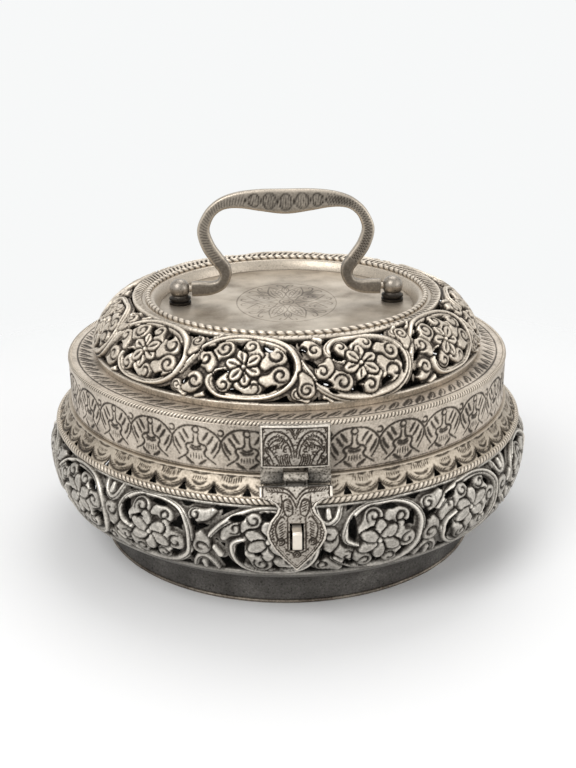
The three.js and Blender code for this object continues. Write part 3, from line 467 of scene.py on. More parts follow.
def put_finish_and_shade(piece, polish_and_shade, tone):
    """What the finish reads, polish and painted shade, each one value or one for every point."""
    for name, values in (("polish_and_shade", polish_and_shade), ("tone", tone)):
        every = np.broadcast_to(np.ravel(values), len(piece.data.vertices))
        put_attribute(piece.data, name, every)


def edit(piece, *steps):
    """Run a few edit mode operators on all of a piece."""
    pick(piece)
    bpy.ops.object.mode_set(mode="EDIT")
    for step in steps:
        step()
    bpy.ops.object.mode_set(mode="OBJECT")


def select_all():
    bpy.ops.mesh.select_all(action="SELECT")


def merge_doubles():
    select_all()
    bpy.ops.mesh.remove_doubles(threshold=2e-6)


def face_outwards():
    select_all()
    bpy.ops.mesh.normals_make_consistent(inside=False)


def apply_modifier(piece, kind, **settings):
    pick(piece)
    made = piece.modifiers.new(kind, kind)
    for key, value in settings.items():
        setattr(made, key, value)
    bpy.ops.object.modifier_apply(modifier=made.name)


def smooth_all(piece):
    piece.data.polygons.foreach_set("use_smooth", np.ones(len(piece.data.polygons), bool))
    piece.data.update()
    print(piece.name, len(piece.data.polygons), "faces")
    return piece


def smooth_under(piece, degrees):
    """Smooth, but for the corners sharper than this."""
    pick(piece)
    bpy.ops.object.shade_smooth_by_angle(angle=math.radians(degrees))
    return piece


def dress(piece, body, finish, slot, *nodes):
    """The last step of every piece: its finish, the body that it rides on, what it stands for."""
    piece.data.materials.clear()
    piece.data.materials.append(finish)
    if nodes:
        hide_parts(*nodes)
    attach(piece, body)
    return piece


# %% [markdown]
# ## One helper for all worked sheets
#
# Wall, gallery, bands and hinge faces all go through the same steps, so these are written once. The
# order matters: saw, bend, give thickness, and raise the relief last.

# %% The helper that makes a worked sheet
BACK_POLISH = 0.3


def slide_to_outline(sheet, gone):
    """Move the points beside a gap on to the line where the metal ends."""
    kept_near = np.zeros(sheet.air.shape, bool)
    gone_near = np.zeros(sheet.air.shape, bool)
    for i in (0, 1):
        for j in (0, 1):
            view = (slice(i, gone.shape[0] + i), slice(j, gone.shape[1] + j))
            kept_near[view] |= ~gone
            gone_near[view] |= gone
    slope_y, slope_x = np.gradient(sheet.air, sheet.y, sheet.x)
    steep = slope_x ** 2 + slope_y ** 2 + 0.05
    reach_x, reach_y = (0.45 * cell for cell in np.meshgrid(np.gradient(sheet.x),
                                                            np.gradient(sheet.y)))
    edge = kept_near & gone_near
    move_x = np.where(edge, np.clip(-sheet.air * slope_x / steep, -reach_x, reach_x), 0)
    move_y = np.where(edge, np.clip(-sheet.air * slope_y / steep, -reach_y, reach_y), 0)
    return sheet.across + move_x, sheet.up + move_y


def worked_sheet(name, sheet, surface, thickness, closed=False):
    """surface(x, y) gives the places and outward directions of the sheet's ground."""
    air = sheet.air
    gone = (air[:-1, :-1] + air[1:, :-1] + air[:-1, 1:] + air[1:, 1:]) > 0
    x, y = slide_to_outline(sheet, gone)
    inner = (slice(None), slice(sheet.pad, len(sheet.x) - sheet.pad))
    height, polish_and_shade, tone, x, y = [field[inner] for field in
                                  (sheet.height, sheet.polish_and_shade(), sheet.tone, x, y)]
    gone = gone[:, sheet.pad:gone.shape[1] - sheet.pad]
    rows, columns = gone.shape
    piece = grid(name, columns, rows)
    place, out = surface(x, y)
    set_points(piece, place)
    put_attribute(piece.data, "lift", (out * height[..., None] * MM).reshape(-1, 3))
    put_finish_and_shade(piece, polish_and_shade, tone)
    if gone.any():
        edit(piece, lambda: bpy.ops.mesh.select_all(action="DESELECT"))
        piece.data.polygons.foreach_set("select", gone.ravel())
        edit(piece, lambda: bpy.ops.mesh.delete(type="FACE"))
    if closed:
        edit(piece, merge_doubles)
    outer = len(piece.data.vertices)
    apply_modifier(piece, "SOLIDIFY", thickness=thickness * MM, offset=-1)
    mesh = piece.data
    places = read(mesh.vertices, "co", 3)
    places[:outer] += read(mesh.attributes["lift"].data, "vector", 3)[:outer]
    mesh.vertices.foreach_set("co", places.ravel())
    shine_and_shade = read(mesh.attributes["polish_and_shade"].data, "value", 1)
    shine_and_shade[outer:] = BACK_POLISH
    mesh.attributes["polish_and_shade"].data.foreach_set("value", shine_and_shade)
    mesh.attributes.remove(mesh.attributes["lift"])
    return smooth_all(piece)


# %% [markdown]
# ## Bands turned about the axis
#
# Most sheets of the box are bent round its axis. A band is given by a profile of distances from the
# axis and heights, and by the radius at which the flat drawing has its true length. The point x = 0
# of a drawing lies at the front, over the hasp, and x grows to the right.

# %% A surface turned about the axis
def outline_run(line):
    """The length along a line at each of its points, and its outward directions."""
    run = np.concatenate([[0], np.cumsum(np.hypot(*np.diff(line, axis=0).T))])
    along = np.gradient(line, run, axis=0)
    along /= np.hypot(*along.T)[:, None]
    return run, np.stack([along[:, 1], -along[:, 0]], -1)


def turned_surface(profile, radius, sink, drift=0.0, front=0.0):
    """The ground lies sink under the profile. drift widens the panels at the back of the box."""
    profile = np.asarray(profile, float)
    run, outward = outline_run(profile)

    def surface(x, y):
        turn = x / radius
        turn = turn - drift * np.sin(turn) + front
        r, z = np.interp(y, run, profile[:, 0]), np.interp(y, run, profile[:, 1])
        nr, nz = np.interp(y, run, outward[:, 0]), np.interp(y, run, outward[:, 1])
        r, z = r - sink * nr, z - sink * nz
        return (np.stack([r * np.sin(turn), -r * np.cos(turn), z], -1),
                np.stack([nr * np.sin(turn), -nr * np.cos(turn), nz], -1))

    return surface, run[-1]


def even_steps(start, end, cell):
    count = max(2, round((end - start) / cell))
    return np.linspace(start, end, count + 1)


def band_sheet(start, length, run, cell, pad=4):
    """The flat sheet of a band, or of one section of it, with a pad beyond each seam."""
    columns = round(length / cell)
    x = start + length / columns * np.arange(-pad, columns + pad + 1)
    return Relief(x, even_steps(0, run, cell), pad)


# %% [markdown]
# ## The scroll panel
#
# Wall and gallery share one old motif, the running scroll. A stem leaves the ring of its neighbour,
# runs round a six-petalled flower and ends inside as the flower's stalk, and it comes in from below
# and from above by turns. Comma leaves with a curl cut into them fill what is left.
# Each panel is drawn in millimetres from the middle of its ring, and is then varied a little, as a
# hand does. Upside-down panels are mirrored.

# %% One panel of the running scroll
# A leaf is its head, its size, its root, its bow, and the start and sweep of its curl in degrees.
# A bud or a gap is its points and half its width.
WALL_SCROLL = {
    "stem": ((-31.5, 4.2), (-27, -1.7), (-21.8, -7.5), (-15.1, -12.6), (-6.3, -15.8), (2.1, -16.3),
             (10, -14.1), (15.7, -8.6), (17.6, -1.5), (17.2, 5.8), (13.7, 12), (7.4, 15.4),
             (0, 16.1), (-7.9, 15.3), (-13.7, 11.6), (-16.7, 5.5), (-16.2, 0.3), (-10.9, -2.3)),
    "leaves": ((-4.8, 10.4, 3.9, -11.2, 3.6, -1.2, 215, -300),
               (7.4, 8.4, 3.4, 1.0, 8.6, 1.6, 300, -290), (11.0, -3.4, 3.8, 7.0, 4.6, -2.4, 60, 250),
               (3.8, -11.4, 3.3, 8.8, -6.8, 0.8, 160, -240),
               (-7.4, -11.4, 3.3, -11.6, -6.6, -0.8, 200, -220),
               (-15.4, -7.4, 3.2, -20.0, -2.6, -1.0, 120, -260),
               (22.8, -3.6, 3.6, 22.4, 3.0, 0.9, -20, 220),
               (20.6, 11.2, 3.3, 28.2, 14.6, 1.0, 60, 300)),
    "arches": (((17.8, -16.0), (19.4, -11.0), (22.8, -8.9), (26.2, -11.4), (28.0, -16.2)),),
    "buds": (((22.8, -11.9), (22.8, -15.4), 1.6), ((30.6, -6.4), (28.4, -3.0), 1.6)),
    "gaps": (((-13.0, 11.0), (-14.1, 5.5), (-12.4, -0.2), 1.5),
             ((-1.2, 13.7), (2.6, 13.9), (6.0, 13.0), 1.0), ((8.9, 4.2), (12.4, 5.6), (13.6, 9.4), 1.4),
             ((11.6, -8.2), (9.0, -10.0), (7.8, -12.4), 1.3),
             ((-4.6, -13.9), (-2.0, -12.4), (-0.2, -14.2), 1.1),
             ((-17.4, -11.2), (-14.4, -11.6), (-11.6, -12.2), 1.1),
             ((14.2, 15.4), (15.6, 16.6), (17.0, 16.4), 1.0),
             ((19.0, 9.0), (19.6, 7.4), (19.8, 5.6), 0.9), ((20.2, 3.4), (22.2, 5.6), (25.4, 6.6), 1.0),
             ((28.4, 16.4), (29.6, 15.9), (31.0, 15.8), 0.8),
             ((17.0, -12.6), (18.2, -9.4), (19.8, -7.6), 0.8),
             ((-4.6, 5.2), (-6.4, 5.4), (-7.8, 4.2), 0.5)),
}
GALLERY_SCROLL = {
    "stem": ((-33.4, 5.4), (-28.9, -1.9), (-24.4, -8.3), (-16.1, -13.4), (-5.2, -15.3), (7.5, -13.4),
             (15.2, -8.3), (18.4, -0.6), (15.8, 6.4), (10.1, 10.8), (3.7, 13.0), (-5.2, 13.4),
             (-14.8, 12.2), (-19.0, 8.3), (-17.4, 4.2), (-12.4, 1.3)),
    "leaves": ((-12.8, 8.0, 3.1, -8.4, 4.4, 0.6, 180, -240), (0.4, 9.0, 3.2, -6.6, 7.8, 0.8, 110, -230),
               (11.4, 3.2, 3.8, 4.4, 5.4, 1.4, 30, 280), (10.2, -5.6, 4.7, 5.0, -0.6, -1.2, 200, -230),
               (-2.4, -9.6, 3.7, 2.2, -5.4, -0.8, 180, -270),
               (-14.2, -7.6, 4.3, -18.4, -3.0, -1.0, 170, -300),
               (-22.6, -2.2, 3.4, -19.4, 2.2, 1.0, 200, -290),
               (-25.4, 7.6, 3.5, -29.8, 11.6, 0.8, 30, 260),
               (-30.0, -9.8, 3.3, -31.6, -3.6, 0.8, 20, 330),
               (18.6, 11.2, 2.5, 22.4, 14.6, 0.6, 60, 300)),
    "arches": (),
    "buds": (((-22.4, -13.2), (-19.4, -15.4), 1.2), ((-20.8, 13.2), (-24.4, 14.6), 1.3)),
    "gaps": (((-16.4, 7.0), (-15.8, 3.9), (-11.4, 2.2), 1.3),
             ((-29.4, 3.2), (-26.6, 1.6), (-24.4, -0.6), 1.1),
             ((-25.4, -6.2), (-22, -7.0), (-18.8, -8.6), 1.1),
             ((-10.4, -12.0), (-7.6, -10.4), (-5.6, -12.6), 1.1),
             ((8.0, -8.6), (5.6, -8.6), (3.6, -11.4), 1.3),
             ((16.6, 3.0), (16.5, -2.6), (14.2, -7.2), 0.75),
             ((-10.2, 10.6), (-7.6, 10.9), (-4.2, 11.6), 0.8),
             ((4.6, 10.6), (7.2, 9.4), (9.8, 7.8), 0.9), ((-31.6, 9.8), (-30.2, 8.8), (-28.8, 7.6), 0.9),
             ((-23.8, -14.8), (-22.4, -14.8), (-21.2, -15.6), 0.8),
             ((12.4, -14.6), (13.8, -13.8), (15.6, -13.6), 0.8),
             ((20.6, -11.8), (21.6, -13.6), (23.6, -15.2), 1.0),
             ((-16.6, 14.6), (-19.0, 13.6), (-20.4, 11.4), 0.7),
             ((-20.2, -9.8), (-18.6, -11.0), (-16.6, -12.0), 0.6),
             ((-3.8, -5.9), (-5.6, -7.4), (-8.4, -8.4), 0.6)),
}


def petal_ring(sheet, centre, turns, petal):
    for k, turn in enumerate(turns):
        way = np.array([math.cos(math.radians(turn)), math.sin(math.radians(turn))])
        far = petal["reach"] * (1, 0.94, 1.04, 0.98)[k % 4]
        line = smooth_line([centre + way * far * share for share in (0.16, 0.62, 1.0)], 6)
        halves = petal["half"] * spread(petal["outline"], len(line))
        spot, gap, side = sheet.measure(line, halves, petal["half"] + 3)
        rise = petal["top"] * quarter_round(-gap, petal["edge"])
        rise = rise * (1 - petal["crease"] * ridge(side, 0.22))
        # The petals' flanks get painted shade.
        sheet.lay(spot, gap, rise, 0.5, 0.85, petal["edge"] * 1.25)
        if petal["crease"]:
            fold = 0.8 * ridge(side, 0.2) * (gap < -0.2)
            sheet.cut[spot] = np.maximum(sheet.cut[spot], fold)
    sheet.plateau([centre - (0.01, 0), centre + (0.01, 0)], [petal["boss"], petal["boss"]],
                  petal["top"] + 0.15, 0.5)


def leaf(sheet, head, size, root, bow, start, sweep, top, depth=1.0):
    """A comma leaf: a round head on a bowed body, with a groove that curls into the head."""
    way = (head - root) / np.hypot(*(head - root))
    middle = (head + root) / 2 + np.array([-way[1], way[0]]) * bow
    edge = min(0.42 * size, 1.25)
    sheet.plateau([root, middle, head], [0.5 * size, 0.85 * size, size], top, edge, 0.25)
    t = np.linspace(0, 1, 30)
    angle = np.radians(start + 1.35 * sweep * t)
    reach = size * (0.78 - 0.56 * t ** 0.9)
    curl = np.stack([head[0] + reach * np.cos(angle), head[1] + reach * np.sin(angle)], -1)
    sheet.incise(curl, 0.11 * size + 0.12, depth, 1)


def scroll_panels(sheet, panels, scroll, style):
    """Half of the leaves first, then the stems from right to left, so that each stem comes out from
    under the ring before it, then the leaves that lap over the stems, the flowers, and the saw."""
    def at(panel, x, y, wobble=0.0):
        shift = panel["hand"].uniform(-wobble, wobble, 2)
        return np.array(panel["middle"]) + (x, panel["flip"] * y) + shift

    def leaves(panel, half):
        flip, hand = panel["flip"], panel["hand"]
        for x, y, size, root_x, root_y, bow, start, sweep in scroll["leaves"][half::2]:
            head, root = at(panel, x, y, 0.3), at(panel, root_x, root_y, 0.3)
            grown = size * style["leaf_share"] * (1 + hand.uniform(-0.06, 0.06))
            leaf(sheet, head, grown, root, flip * bow, flip * (start + hand.uniform(-15, 15)),
                 flip * sweep, style["leaf_top"])

    for panel in panels:
        leaves(panel, 1)
        for (x, y), (end_x, end_y), half in scroll["buds"]:
            sheet.plateau([at(panel, x, y), at(panel, end_x, end_y)], [half, 0.8 * half],
                          style["leaf_top"], 0.8)
    for panel in reversed(panels):
        for points in scroll["arches"]:
            sheet.stem([at(panel, x, y, 0.2) for x, y in points], [1.2, 1.6, 1.3],
                       0.72 * style["stem_top"], 0.5)
        sheet.stem([at(panel, x, y, 0.25) for x, y in scroll["stem"]], style["stem_half"],
                   style["stem_top"], style["channel"])
    for panel in panels:
        leaves(panel, 0)
    for panel in panels:
        turns = [panel["flip"] * turn + panel["hand"].uniform(-5, 5)
                 for turn in style["petal"]["turns"]]
        petal_ring(sheet, at(panel, *style["flower"], 0.2), turns, style["petal"])
    for panel in panels:
        for *points, half in scroll["gaps"]:
            line = [at(panel, x, y, 0.25) for x, y in points]
            varied = panel["hand"].uniform(0.9, 1.15)
            sheet.saw(line, half * panel["open"] * style["gap_share"] * varied)
    sheet.ease_edges(0.8)


# %% [markdown]
# ## The bulging wall
#
# Fourteen panels run round the wall, sawn out most freely at the front. Under them the sheet curls
# in to the foot as a plain strip, painted dark as shade. The wall is made in seven sections of two
# panels, because one mesh would be too heavy, and each section draws its neighbours' panels too,
# so that the stems run on over the seams.

# %% Profile of the wall
lower_rise, upper_rise, upper_sweep = bulge_z - wall_foot_z, wall_top_z - bulge_z, math.radians(55)
lower = np.linspace(0, np.pi / 2, 40)
upper = np.linspace(0, upper_sweep, 20)[1:]
inset = (1 - np.cos(upper)) / (1 - math.cos(upper_sweep))
wall_profile = np.vstack([
    np.stack([wall_foot_radius + bulge_out * np.sin(lower),
              bulge_z - lower_rise * np.cos(lower)], -1),
    np.stack([bulge_radius - (bulge_radius - wall_top_radius) * inset,
              bulge_z + upper_rise * np.sin(upper) / math.sin(upper_sweep)], -1),
])
wall_panels = 14
wall_relief = 2.1
drawn_radius = 108.0
wall_pitch = 2 * np.pi * drawn_radius / wall_panels
wall_strip_top, wall_ring_y, wall_lip = 15.2, 33.0, 1.0
back_drift, wall_front = 0.063, math.radians(5.5)
wall_surface, wall_run = turned_surface(wall_profile, drawn_radius, wall_relief, back_drift,
                                        -wall_front)
# The hasp hangs at the box's front, where the drawing of the wall has this x
hasp_x = drawn_radius * wall_front / (1 - back_drift)
print("wall run", round(wall_run, 1), "mm, panel", round(wall_pitch, 1), "mm")

# %% [markdown]
# ## Sections of the wall
#
# No two panels of a hand-cut wall are alike. Each panel here has its own seeded hand, and some stand
# off their even places. Behind the hasp the sheet stays whole, because the staple is fixed there.

# %% Sections of the wall
wall_style = {
    "leaf_top": 1.85, "leaf_share": 1.16, "gap_share": 1.32, "stem_top": 2.05, "channel": 0.5,
    "flower": (-2.0, -1.4),
    "stem_half": (0.8, 1.1, 1.4, 1.8, 2.0, 1.9, 1.6, 1.6, 1.7, 1.6, 1.3, 1.1, 1.05, 1.2, 1.5, 1.5,
                  1.3, 0.8),
    "petal": {"half": 3.1, "top": 1.9, "edge": 1.1, "crease": 0.0, "boss": 1.3, "reach": 8.3,
              "outline": (0.3, 0.8, 1.0, 0.95, 0.66), "turns": (92, 36, -26, -92, -152, 152)},
}
# Where panels stand off their even places, in millimetres
panel_shift = {-1: -3.0, 0: 1.5, 1: -0.5, 2: -1.5, 5: 2.0, 6: 4.0, 7: 4.5, 8: 4.0, 9: 2.0}
# The plain place under the staple: half its width, and its ends up the wall
stapled_half, stapled_low, stapled_high = 4.5, 27.0, 46.0
stapled_middle, stapled_rise = (stapled_low + stapled_high) / 2, (stapled_high - stapled_low) / 2


def wall_section(number):
    sheet = band_sheet((number - 0.25) * 2 * wall_pitch, 2 * wall_pitch, wall_run, 0.46)
    panels = []
    for k in range(2 * number - 2, 2 * number + 4):
        turn = (k + 4) % wall_panels - 4
        back = 0.5 - 0.5 * math.cos(2 * math.pi * k / wall_panels)
        panels.append({"middle": (k * wall_pitch + panel_shift.get(turn, 0), wall_ring_y),
                       "open": 1 - 0.45 * back, "flip": -1 if k % 2 == 0 else 1,
                       "hand": np.random.default_rng(40 + k % wall_panels)})
    scroll_panels(sheet, panels, WALL_SCROLL, wall_style)
    up, off_hasp = sheet.up, np.abs(sheet.across - hasp_x)
    strip, lip = up < wall_strip_top, up > wall_run - wall_lip
    sheet.height[strip] = 1.1 + 0.5 * ridge(up[strip] - wall_strip_top + 0.8, 0.5)
    sheet.cut[strip] = 0
    sheet.height[lip] = np.maximum(sheet.height[lip], 1.4)
    # Painted shade: the openwork darkens towards the foot, where the wall turns down and away from the
    # light, and the plain strip under the bulge is darker still.
    sheet.tone = 0.6 + 0.4 * np.clip((up - wall_strip_top) / 12, 0, 1)
    sheet.tone[strip] = 0.5
    # Painted shadow: the plain place behind the hasp is painted nearly black.
    sheet.tone[(off_hasp < 6.5) & (up > stapled_low) & (up < stapled_high)] = 0.08
    openwork = np.minimum(up - wall_strip_top, wall_run - wall_lip - up)
    off_staple = np.maximum(off_hasp - stapled_half, np.abs(up - stapled_middle) - stapled_rise)
    rest = 1.7 + 0.5 * (1 - np.cos(sheet.across / drawn_radius))
    unheld = np.maximum(sheet.sawn, sheet.gap - rest)
    sheet.air = np.minimum(np.minimum(unheld, openwork), off_staple)
    piece = worked_sheet(f"wall_section_{number + 1}", sheet, wall_surface, 0.9)
    dress(piece, "body", wall_silver, "chased_silver", "body_wall")


for number in range(wall_panels // 2):
    wall_section(number)

# %% [markdown]
# ## The gallery of the lid
#
# The gallery swells from the ledge over a crest and down to the rope round the sunk plate. It has
# eleven panels of the same scroll, bolder than those of the wall, with pointed, folded petals.

# %% Sections of the gallery
gallery_foot_radius = lid_radius - 11.3
gallery_points = ((-0.66, 0), (-0.06, 5), (-2.9, 13), (-9.9, 21.7), (-18.2, 25.9), (-23.4, 25.6),
                  (-25.26, 24.0))
gallery_profile = smooth_line([(gallery_foot_radius + out, ledge_z + up)
                               for out, up in gallery_points], 9)
gallery_panels = 11
gallery_radius = gallery_foot_radius - 0.6
gallery_pitch = 2 * np.pi * gallery_radius / gallery_panels
gallery_surface, gallery_run = turned_surface(gallery_profile, gallery_radius, 2.1)
gallery_border, gallery_start, gallery_ring_y = (3.0, 35.8), -17.0, 19.0
rim_stroke, rim_pitch = ((0, 36.6), (2.0, 39.4), (3.0, 42.8)), 3.6
gallery_style = {
    "leaf_top": 1.95, "leaf_share": 1.16, "gap_share": 1.15, "stem_top": 2.1, "channel": 0.42,
    "flower": (-4.6, 0.0),
    "stem_half": (0.9, 1.2, 1.6, 2.1, 2.5, 2.5, 2.5, 2.3, 1.8, 1.4, 1.2, 1.2, 1.4, 1.8, 1.6, 0.9),
    "petal": {"half": 2.8, "top": 2.0, "edge": 1.1, "crease": 0.4, "boss": 1.1, "reach": 8.0,
              "outline": (0.25, 0.75, 1.0, 0.75, 0.12), "turns": (83, 20, -32, -106, -168, 136)},
}


def gallery_section(number):
    start = gallery_start + (number - 0.5) * gallery_pitch
    sheet = band_sheet(start, gallery_pitch, gallery_run, 0.43)
    panels = []
    for k in range(number - 2, number + 3):
        turn = k % gallery_panels
        panels.append({"middle": (gallery_start + k * gallery_pitch, gallery_ring_y), "open": 1,
                       "flip": -1 if turn % 2 == 0 else 1,
                       "hand": np.random.default_rng(140 + turn)})
    scroll_panels(sheet, panels, GALLERY_SCROLL, gallery_style)
    border = (sheet.up < gallery_border[0]) | (sheet.up > gallery_border[1])
    sheet.height[border] = 1.5
    sheet.cut[border] = 0
    for k in range(int(start // rim_pitch) - 3, int((start + gallery_pitch) // rim_pitch) + 4):
        sheet.incise([(k * rim_pitch + x, y) for x, y in rim_stroke], 0.6, 0.9)
    openwork = np.minimum(sheet.up - gallery_border[0], gallery_border[1] - sheet.up)
    sheet.air = np.minimum(np.maximum(sheet.sawn, sheet.gap - 1.5), openwork)
    piece = worked_sheet(f"gallery_section_{number + 1:02d}", sheet, gallery_surface, 0.9)
    dress(piece, "lid", chased, "chased_silver", "lid_gallery")


for number in range(gallery_panels):
    gallery_section(number)

# %% [markdown]
# ## The engraved lid band
#
# The upright band is not raised, only cut with a graver: a row of thirty arches that cross at their
# feet, each with a keyhole-shaped bud over a fan. The strokes are drawn once for the right half of
# an arch and mirrored.

# %% Thirty arches
ARCH_STROKES = (
    ((0.0, 18.4), (4.0, 17.9), (7.0, 16.6), (9.4, 14.4), (11.0, 11.8), (11.6, 9.0), (14.2, 5.0)),
    ((1.1, 15.0), (0.95, 12.8), (1.6, 10.9), (4.0, 10.0), (4.6, 8.5), (3.7, 7.0), (4.4, 5.3),
     (8.3, 2.5)),
    ((5.6, 16.1), (4.5, 14.3), (3.3, 12.4)),
    ((7.5, 14.4), (6.3, 12.4), (4.9, 10.5)),
    ((9.4, 12.2), (8.4, 9.6), (6.8, 7.4)),
    ((4.4, 4.0), (3.0, 2.6), (1.2, 1.6)),
    ((0.0, 8.9), (1.0, 9.1), (2.2, 9.8)),
    ((0.0, 7.9), (1.1, 8.0), (2.4, 8.6)),
)


def circle(centre, radius, start=0, sweep=360, steps=12):
    turn = np.radians(np.linspace(start, start + sweep, steps + 1))
    return [(centre[0] + radius * math.cos(a), centre[1] + radius * math.sin(a)) for a in turn]


def arch(sheet, middle, pitch, hand):
    for stroke in ARCH_STROKES:
        wide = 0.4 if len(stroke) > 3 else 0.52
        for side in (-1, 1):
            line = [(middle + side * x + hand.uniform(-0.12, 0.12), y + hand.uniform(-0.12, 0.12))
                    for x, y in stroke]
            sheet.incise(line, wide, 0.4, 4)
    sheet.incise(circle((middle, 16.7), 1.35), 0.36, 0.4, 1)
    sheet.incise(circle((middle + pitch / 2, 16.2), 1.25, 200, 290), 0.36, 0.4, 1)
    for k in range(-2, 3):
        x = middle + k * 1.15
        sheet.incise([(x, 6.4 - 0.15 * abs(k)), (x + 0.12 * k, 4.0)], 0.2, 0.2, 2)


arches = 30
band_pitch = 2 * np.pi * lid_radius / arches
band_surface, band_run = turned_surface(
    [(lid_radius, low("lid_band", Z)), (lid_radius, high("lid_band", Z))], lid_radius, 0.25)


def band_half(number):
    length = np.pi * lid_radius
    sheet = band_sheet((number - 1) * length, length, band_run, 0.42)
    start, end = sheet.x[0], sheet.x[-1]
    sheet.height[:] = 0.25
    for k in range(-arches // 2 - 2, arches // 2 + 3):
        middle = 2.5 + k * band_pitch
        if start - band_pitch < middle < end + band_pitch:
            arch(sheet, middle, band_pitch, np.random.default_rng(300 + k % arches))
    sheet.incise([(start - 5, 0.7), (end + 5, 0.7)], 0.25, 0.2, 1)
    # Painted shadow of the hinge plate on the band at both sides of the hasp, deepest at the band's
    # foot.
    hasp_shadow = ridge(np.abs(sheet.across) - 15, 6)
    sheet.tone -= 0.4 * hasp_shadow * (1.2 - 0.4 * sheet.up / band_run)
    piece = worked_sheet(f"lid_band_{('left', 'right')[number]}", sheet, band_surface, 1.2)
    dress(piece, "lid", engraved, "engraved_silver", "lid_band")


band_half(0)
band_half(1)

# %% [markdown]
# ## The shoulder band
#
# The sloping band is chased with twenty-five large and twenty-five small scallops, like scales,
# and a small triangle is pierced where two of them meet over the rope. At its top the sheet turns
# in flat and carries the lid.

# %% Scallops
shoulder_foot_radius, shoulder_foot_z = high("shoulder_band", X), wall_top_z + 2.2
seat_outer_radius = lid_radius + 1.4
rim_outer_radius = high("body_rim", X)
rim_inner_radius = rim_outer_radius - 1.4
shoulder_profile = [(shoulder_foot_radius, shoulder_foot_z), (seat_outer_radius, seat_z),
                    (rim_inner_radius, seat_z)]
shoulder_surface, shoulder_run = turned_surface(
    np.vstack([np.linspace(a, b, 12, endpoint=False)
               for a, b in zip(shoulder_profile, shoulder_profile[1:])]
              + [shoulder_profile[-1]]), drawn_radius, 0.7)
slope_run = math.hypot(shoulder_foot_radius - seat_outer_radius, seat_z - shoulder_foot_z)
scallops = 25
scallop_pitch = 2 * np.pi * drawn_radius / scallops
big_half = 7.1
small_half = scallop_pitch / 2 - big_half


def bowl(xs, share, reach, bottom, rise, lift=0.0):
    """Half of a scallop's line, from its lowest point to its end."""
    return [(share * x, bottom + rise * (1 - math.sqrt(1 - (0.985 * x / reach) ** 2)) + lift)
            for x in xs]


# Each line is half its width, its depth, its steps and its points from the scallop's middle
BIG_LINES = (
    (0.5, 0.6, 4, *bowl((0, 1.8, 3.4, 4.8, 6.0, 6.7, 7.1), 1, big_half, 1.5, 5.2)),
    (0.22, 0.25, 4, *bowl((0, 2.2, 4.2, 5.8, 6.8), 0.83, big_half, 1.5, 3.6, 1.15)),
)
SMALL_LINES = (
    (0.46, 0.6, 4, *bowl((0, 1.6, 3.2, 4.6, 5.6, 6.2, small_half), 1, small_half, 1.7, 5.0)),
    (0.2, 0.25, 4, *bowl((0, 2.0, 3.8, 5.4, 6.2), 0.8, small_half, 1.7, 3.2, 1.1)),
    (0.34, 0.35, 4, *[(x, 8.6 + 3.0 * (1 - math.sqrt(1 - (x / 5.7) ** 2)))
                      for x in (0, 1.8, 3.4, 4.6, 5.4)]),
)


def smile(sheet, middle, xs, low_end, rise, reach, half, depth):
    """A short line that curves up from its middle."""
    line = [(middle + x, low_end + rise * (x / reach) ** 2) for x in xs]
    sheet.incise(line, half, depth, 4)


def scallop_fields(sheet, middle, hand):
    small_middle = middle + scallop_pitch / 2
    for side in (-1, 1):
        sheet.engrave(BIG_LINES, lambda x, y: (middle + side * x, y))
        sheet.engrave(SMALL_LINES, lambda x, y: (middle + side * (scallop_pitch / 2 - x), y))
    smile(sheet, middle, (-3.3, -1.6, 0, 1.6, 3.3), 4.0, 1.7, 4.4, 0.5, 0.5)
    for k in range(-4, 5):
        x = middle + k * 1.02 + hand.uniform(-0.12, 0.12)
        low_end = 5.9 + 0.06 * k * k
        high_end = low_end + 2.1 + hand.uniform(-0.3, 0.3)
        sheet.incise([(x, low_end), (x + 0.3, high_end)], 0.22, 0.35, 2)
    for k in (-1, 0, 1):
        bow = [(middle + k * 4.6 + x, 9.9 - 1.0 * math.cos(x / 1.7) + 0.5 * abs(k))
               for x in (-1.6, 0, 1.6)]
        sheet.incise(bow, 0.42, 0.4, 4)
    smile(sheet, small_middle, (-3.0, -1.5, 0, 1.5, 3.0), 4.3, 1.3, 3.0, 0.42, 0.45)
    for k in range(-3, 4):
        stroke = [(small_middle + k * 0.9, 6.0 + 0.05 * k * k), (small_middle + k * 0.95 + 0.3, 7.4)]
        sheet.incise(stroke, 0.2, 0.3, 2)


def shoulder():
    length = 2 * np.pi * drawn_radius
    sheet = band_sheet(-length / 2, length, shoulder_run, 0.5)
    sheet.height[:] = 0.35
    for k in range(-scallops // 2 - 2, scallops // 2 + 3):
        middle = 0.7 + k * scallop_pitch
        scallop_fields(sheet, middle, np.random.default_rng(500 + k % scallops))
        for side in (-1, 1):
            off = np.abs(sheet.across - (middle + side * big_half))
            triangle = np.minimum(sheet.up - 1.2, (4.9 - sheet.up) * 0.56 - off)
            sheet.air = np.maximum(sheet.air, triangle)
    seat = sheet.up > slope_run - 0.2
    sheet.height[seat] = 0.7
    sheet.cut[seat] = 0
    piece = worked_sheet("shoulder_scallops", sheet, shoulder_surface, 0.9, closed=True)
    dress(piece, "body", warm_silver, "warm_silver", "shoulder_band")


shoulder()

# %% [markdown]
# ## The ledge of the lid
#
# The flat ledge has one cut line near its rim and a row of slanting leaf strokes inside it, worn
# almost smooth.

# %% Leaf strokes on the ledge
ledge_radius = 96
ledge_surface, ledge_run = turned_surface(
    [(high("lid_ledge", X), ledge_z), (gallery_radius - 3.5, ledge_z)], ledge_radius, 0.3)


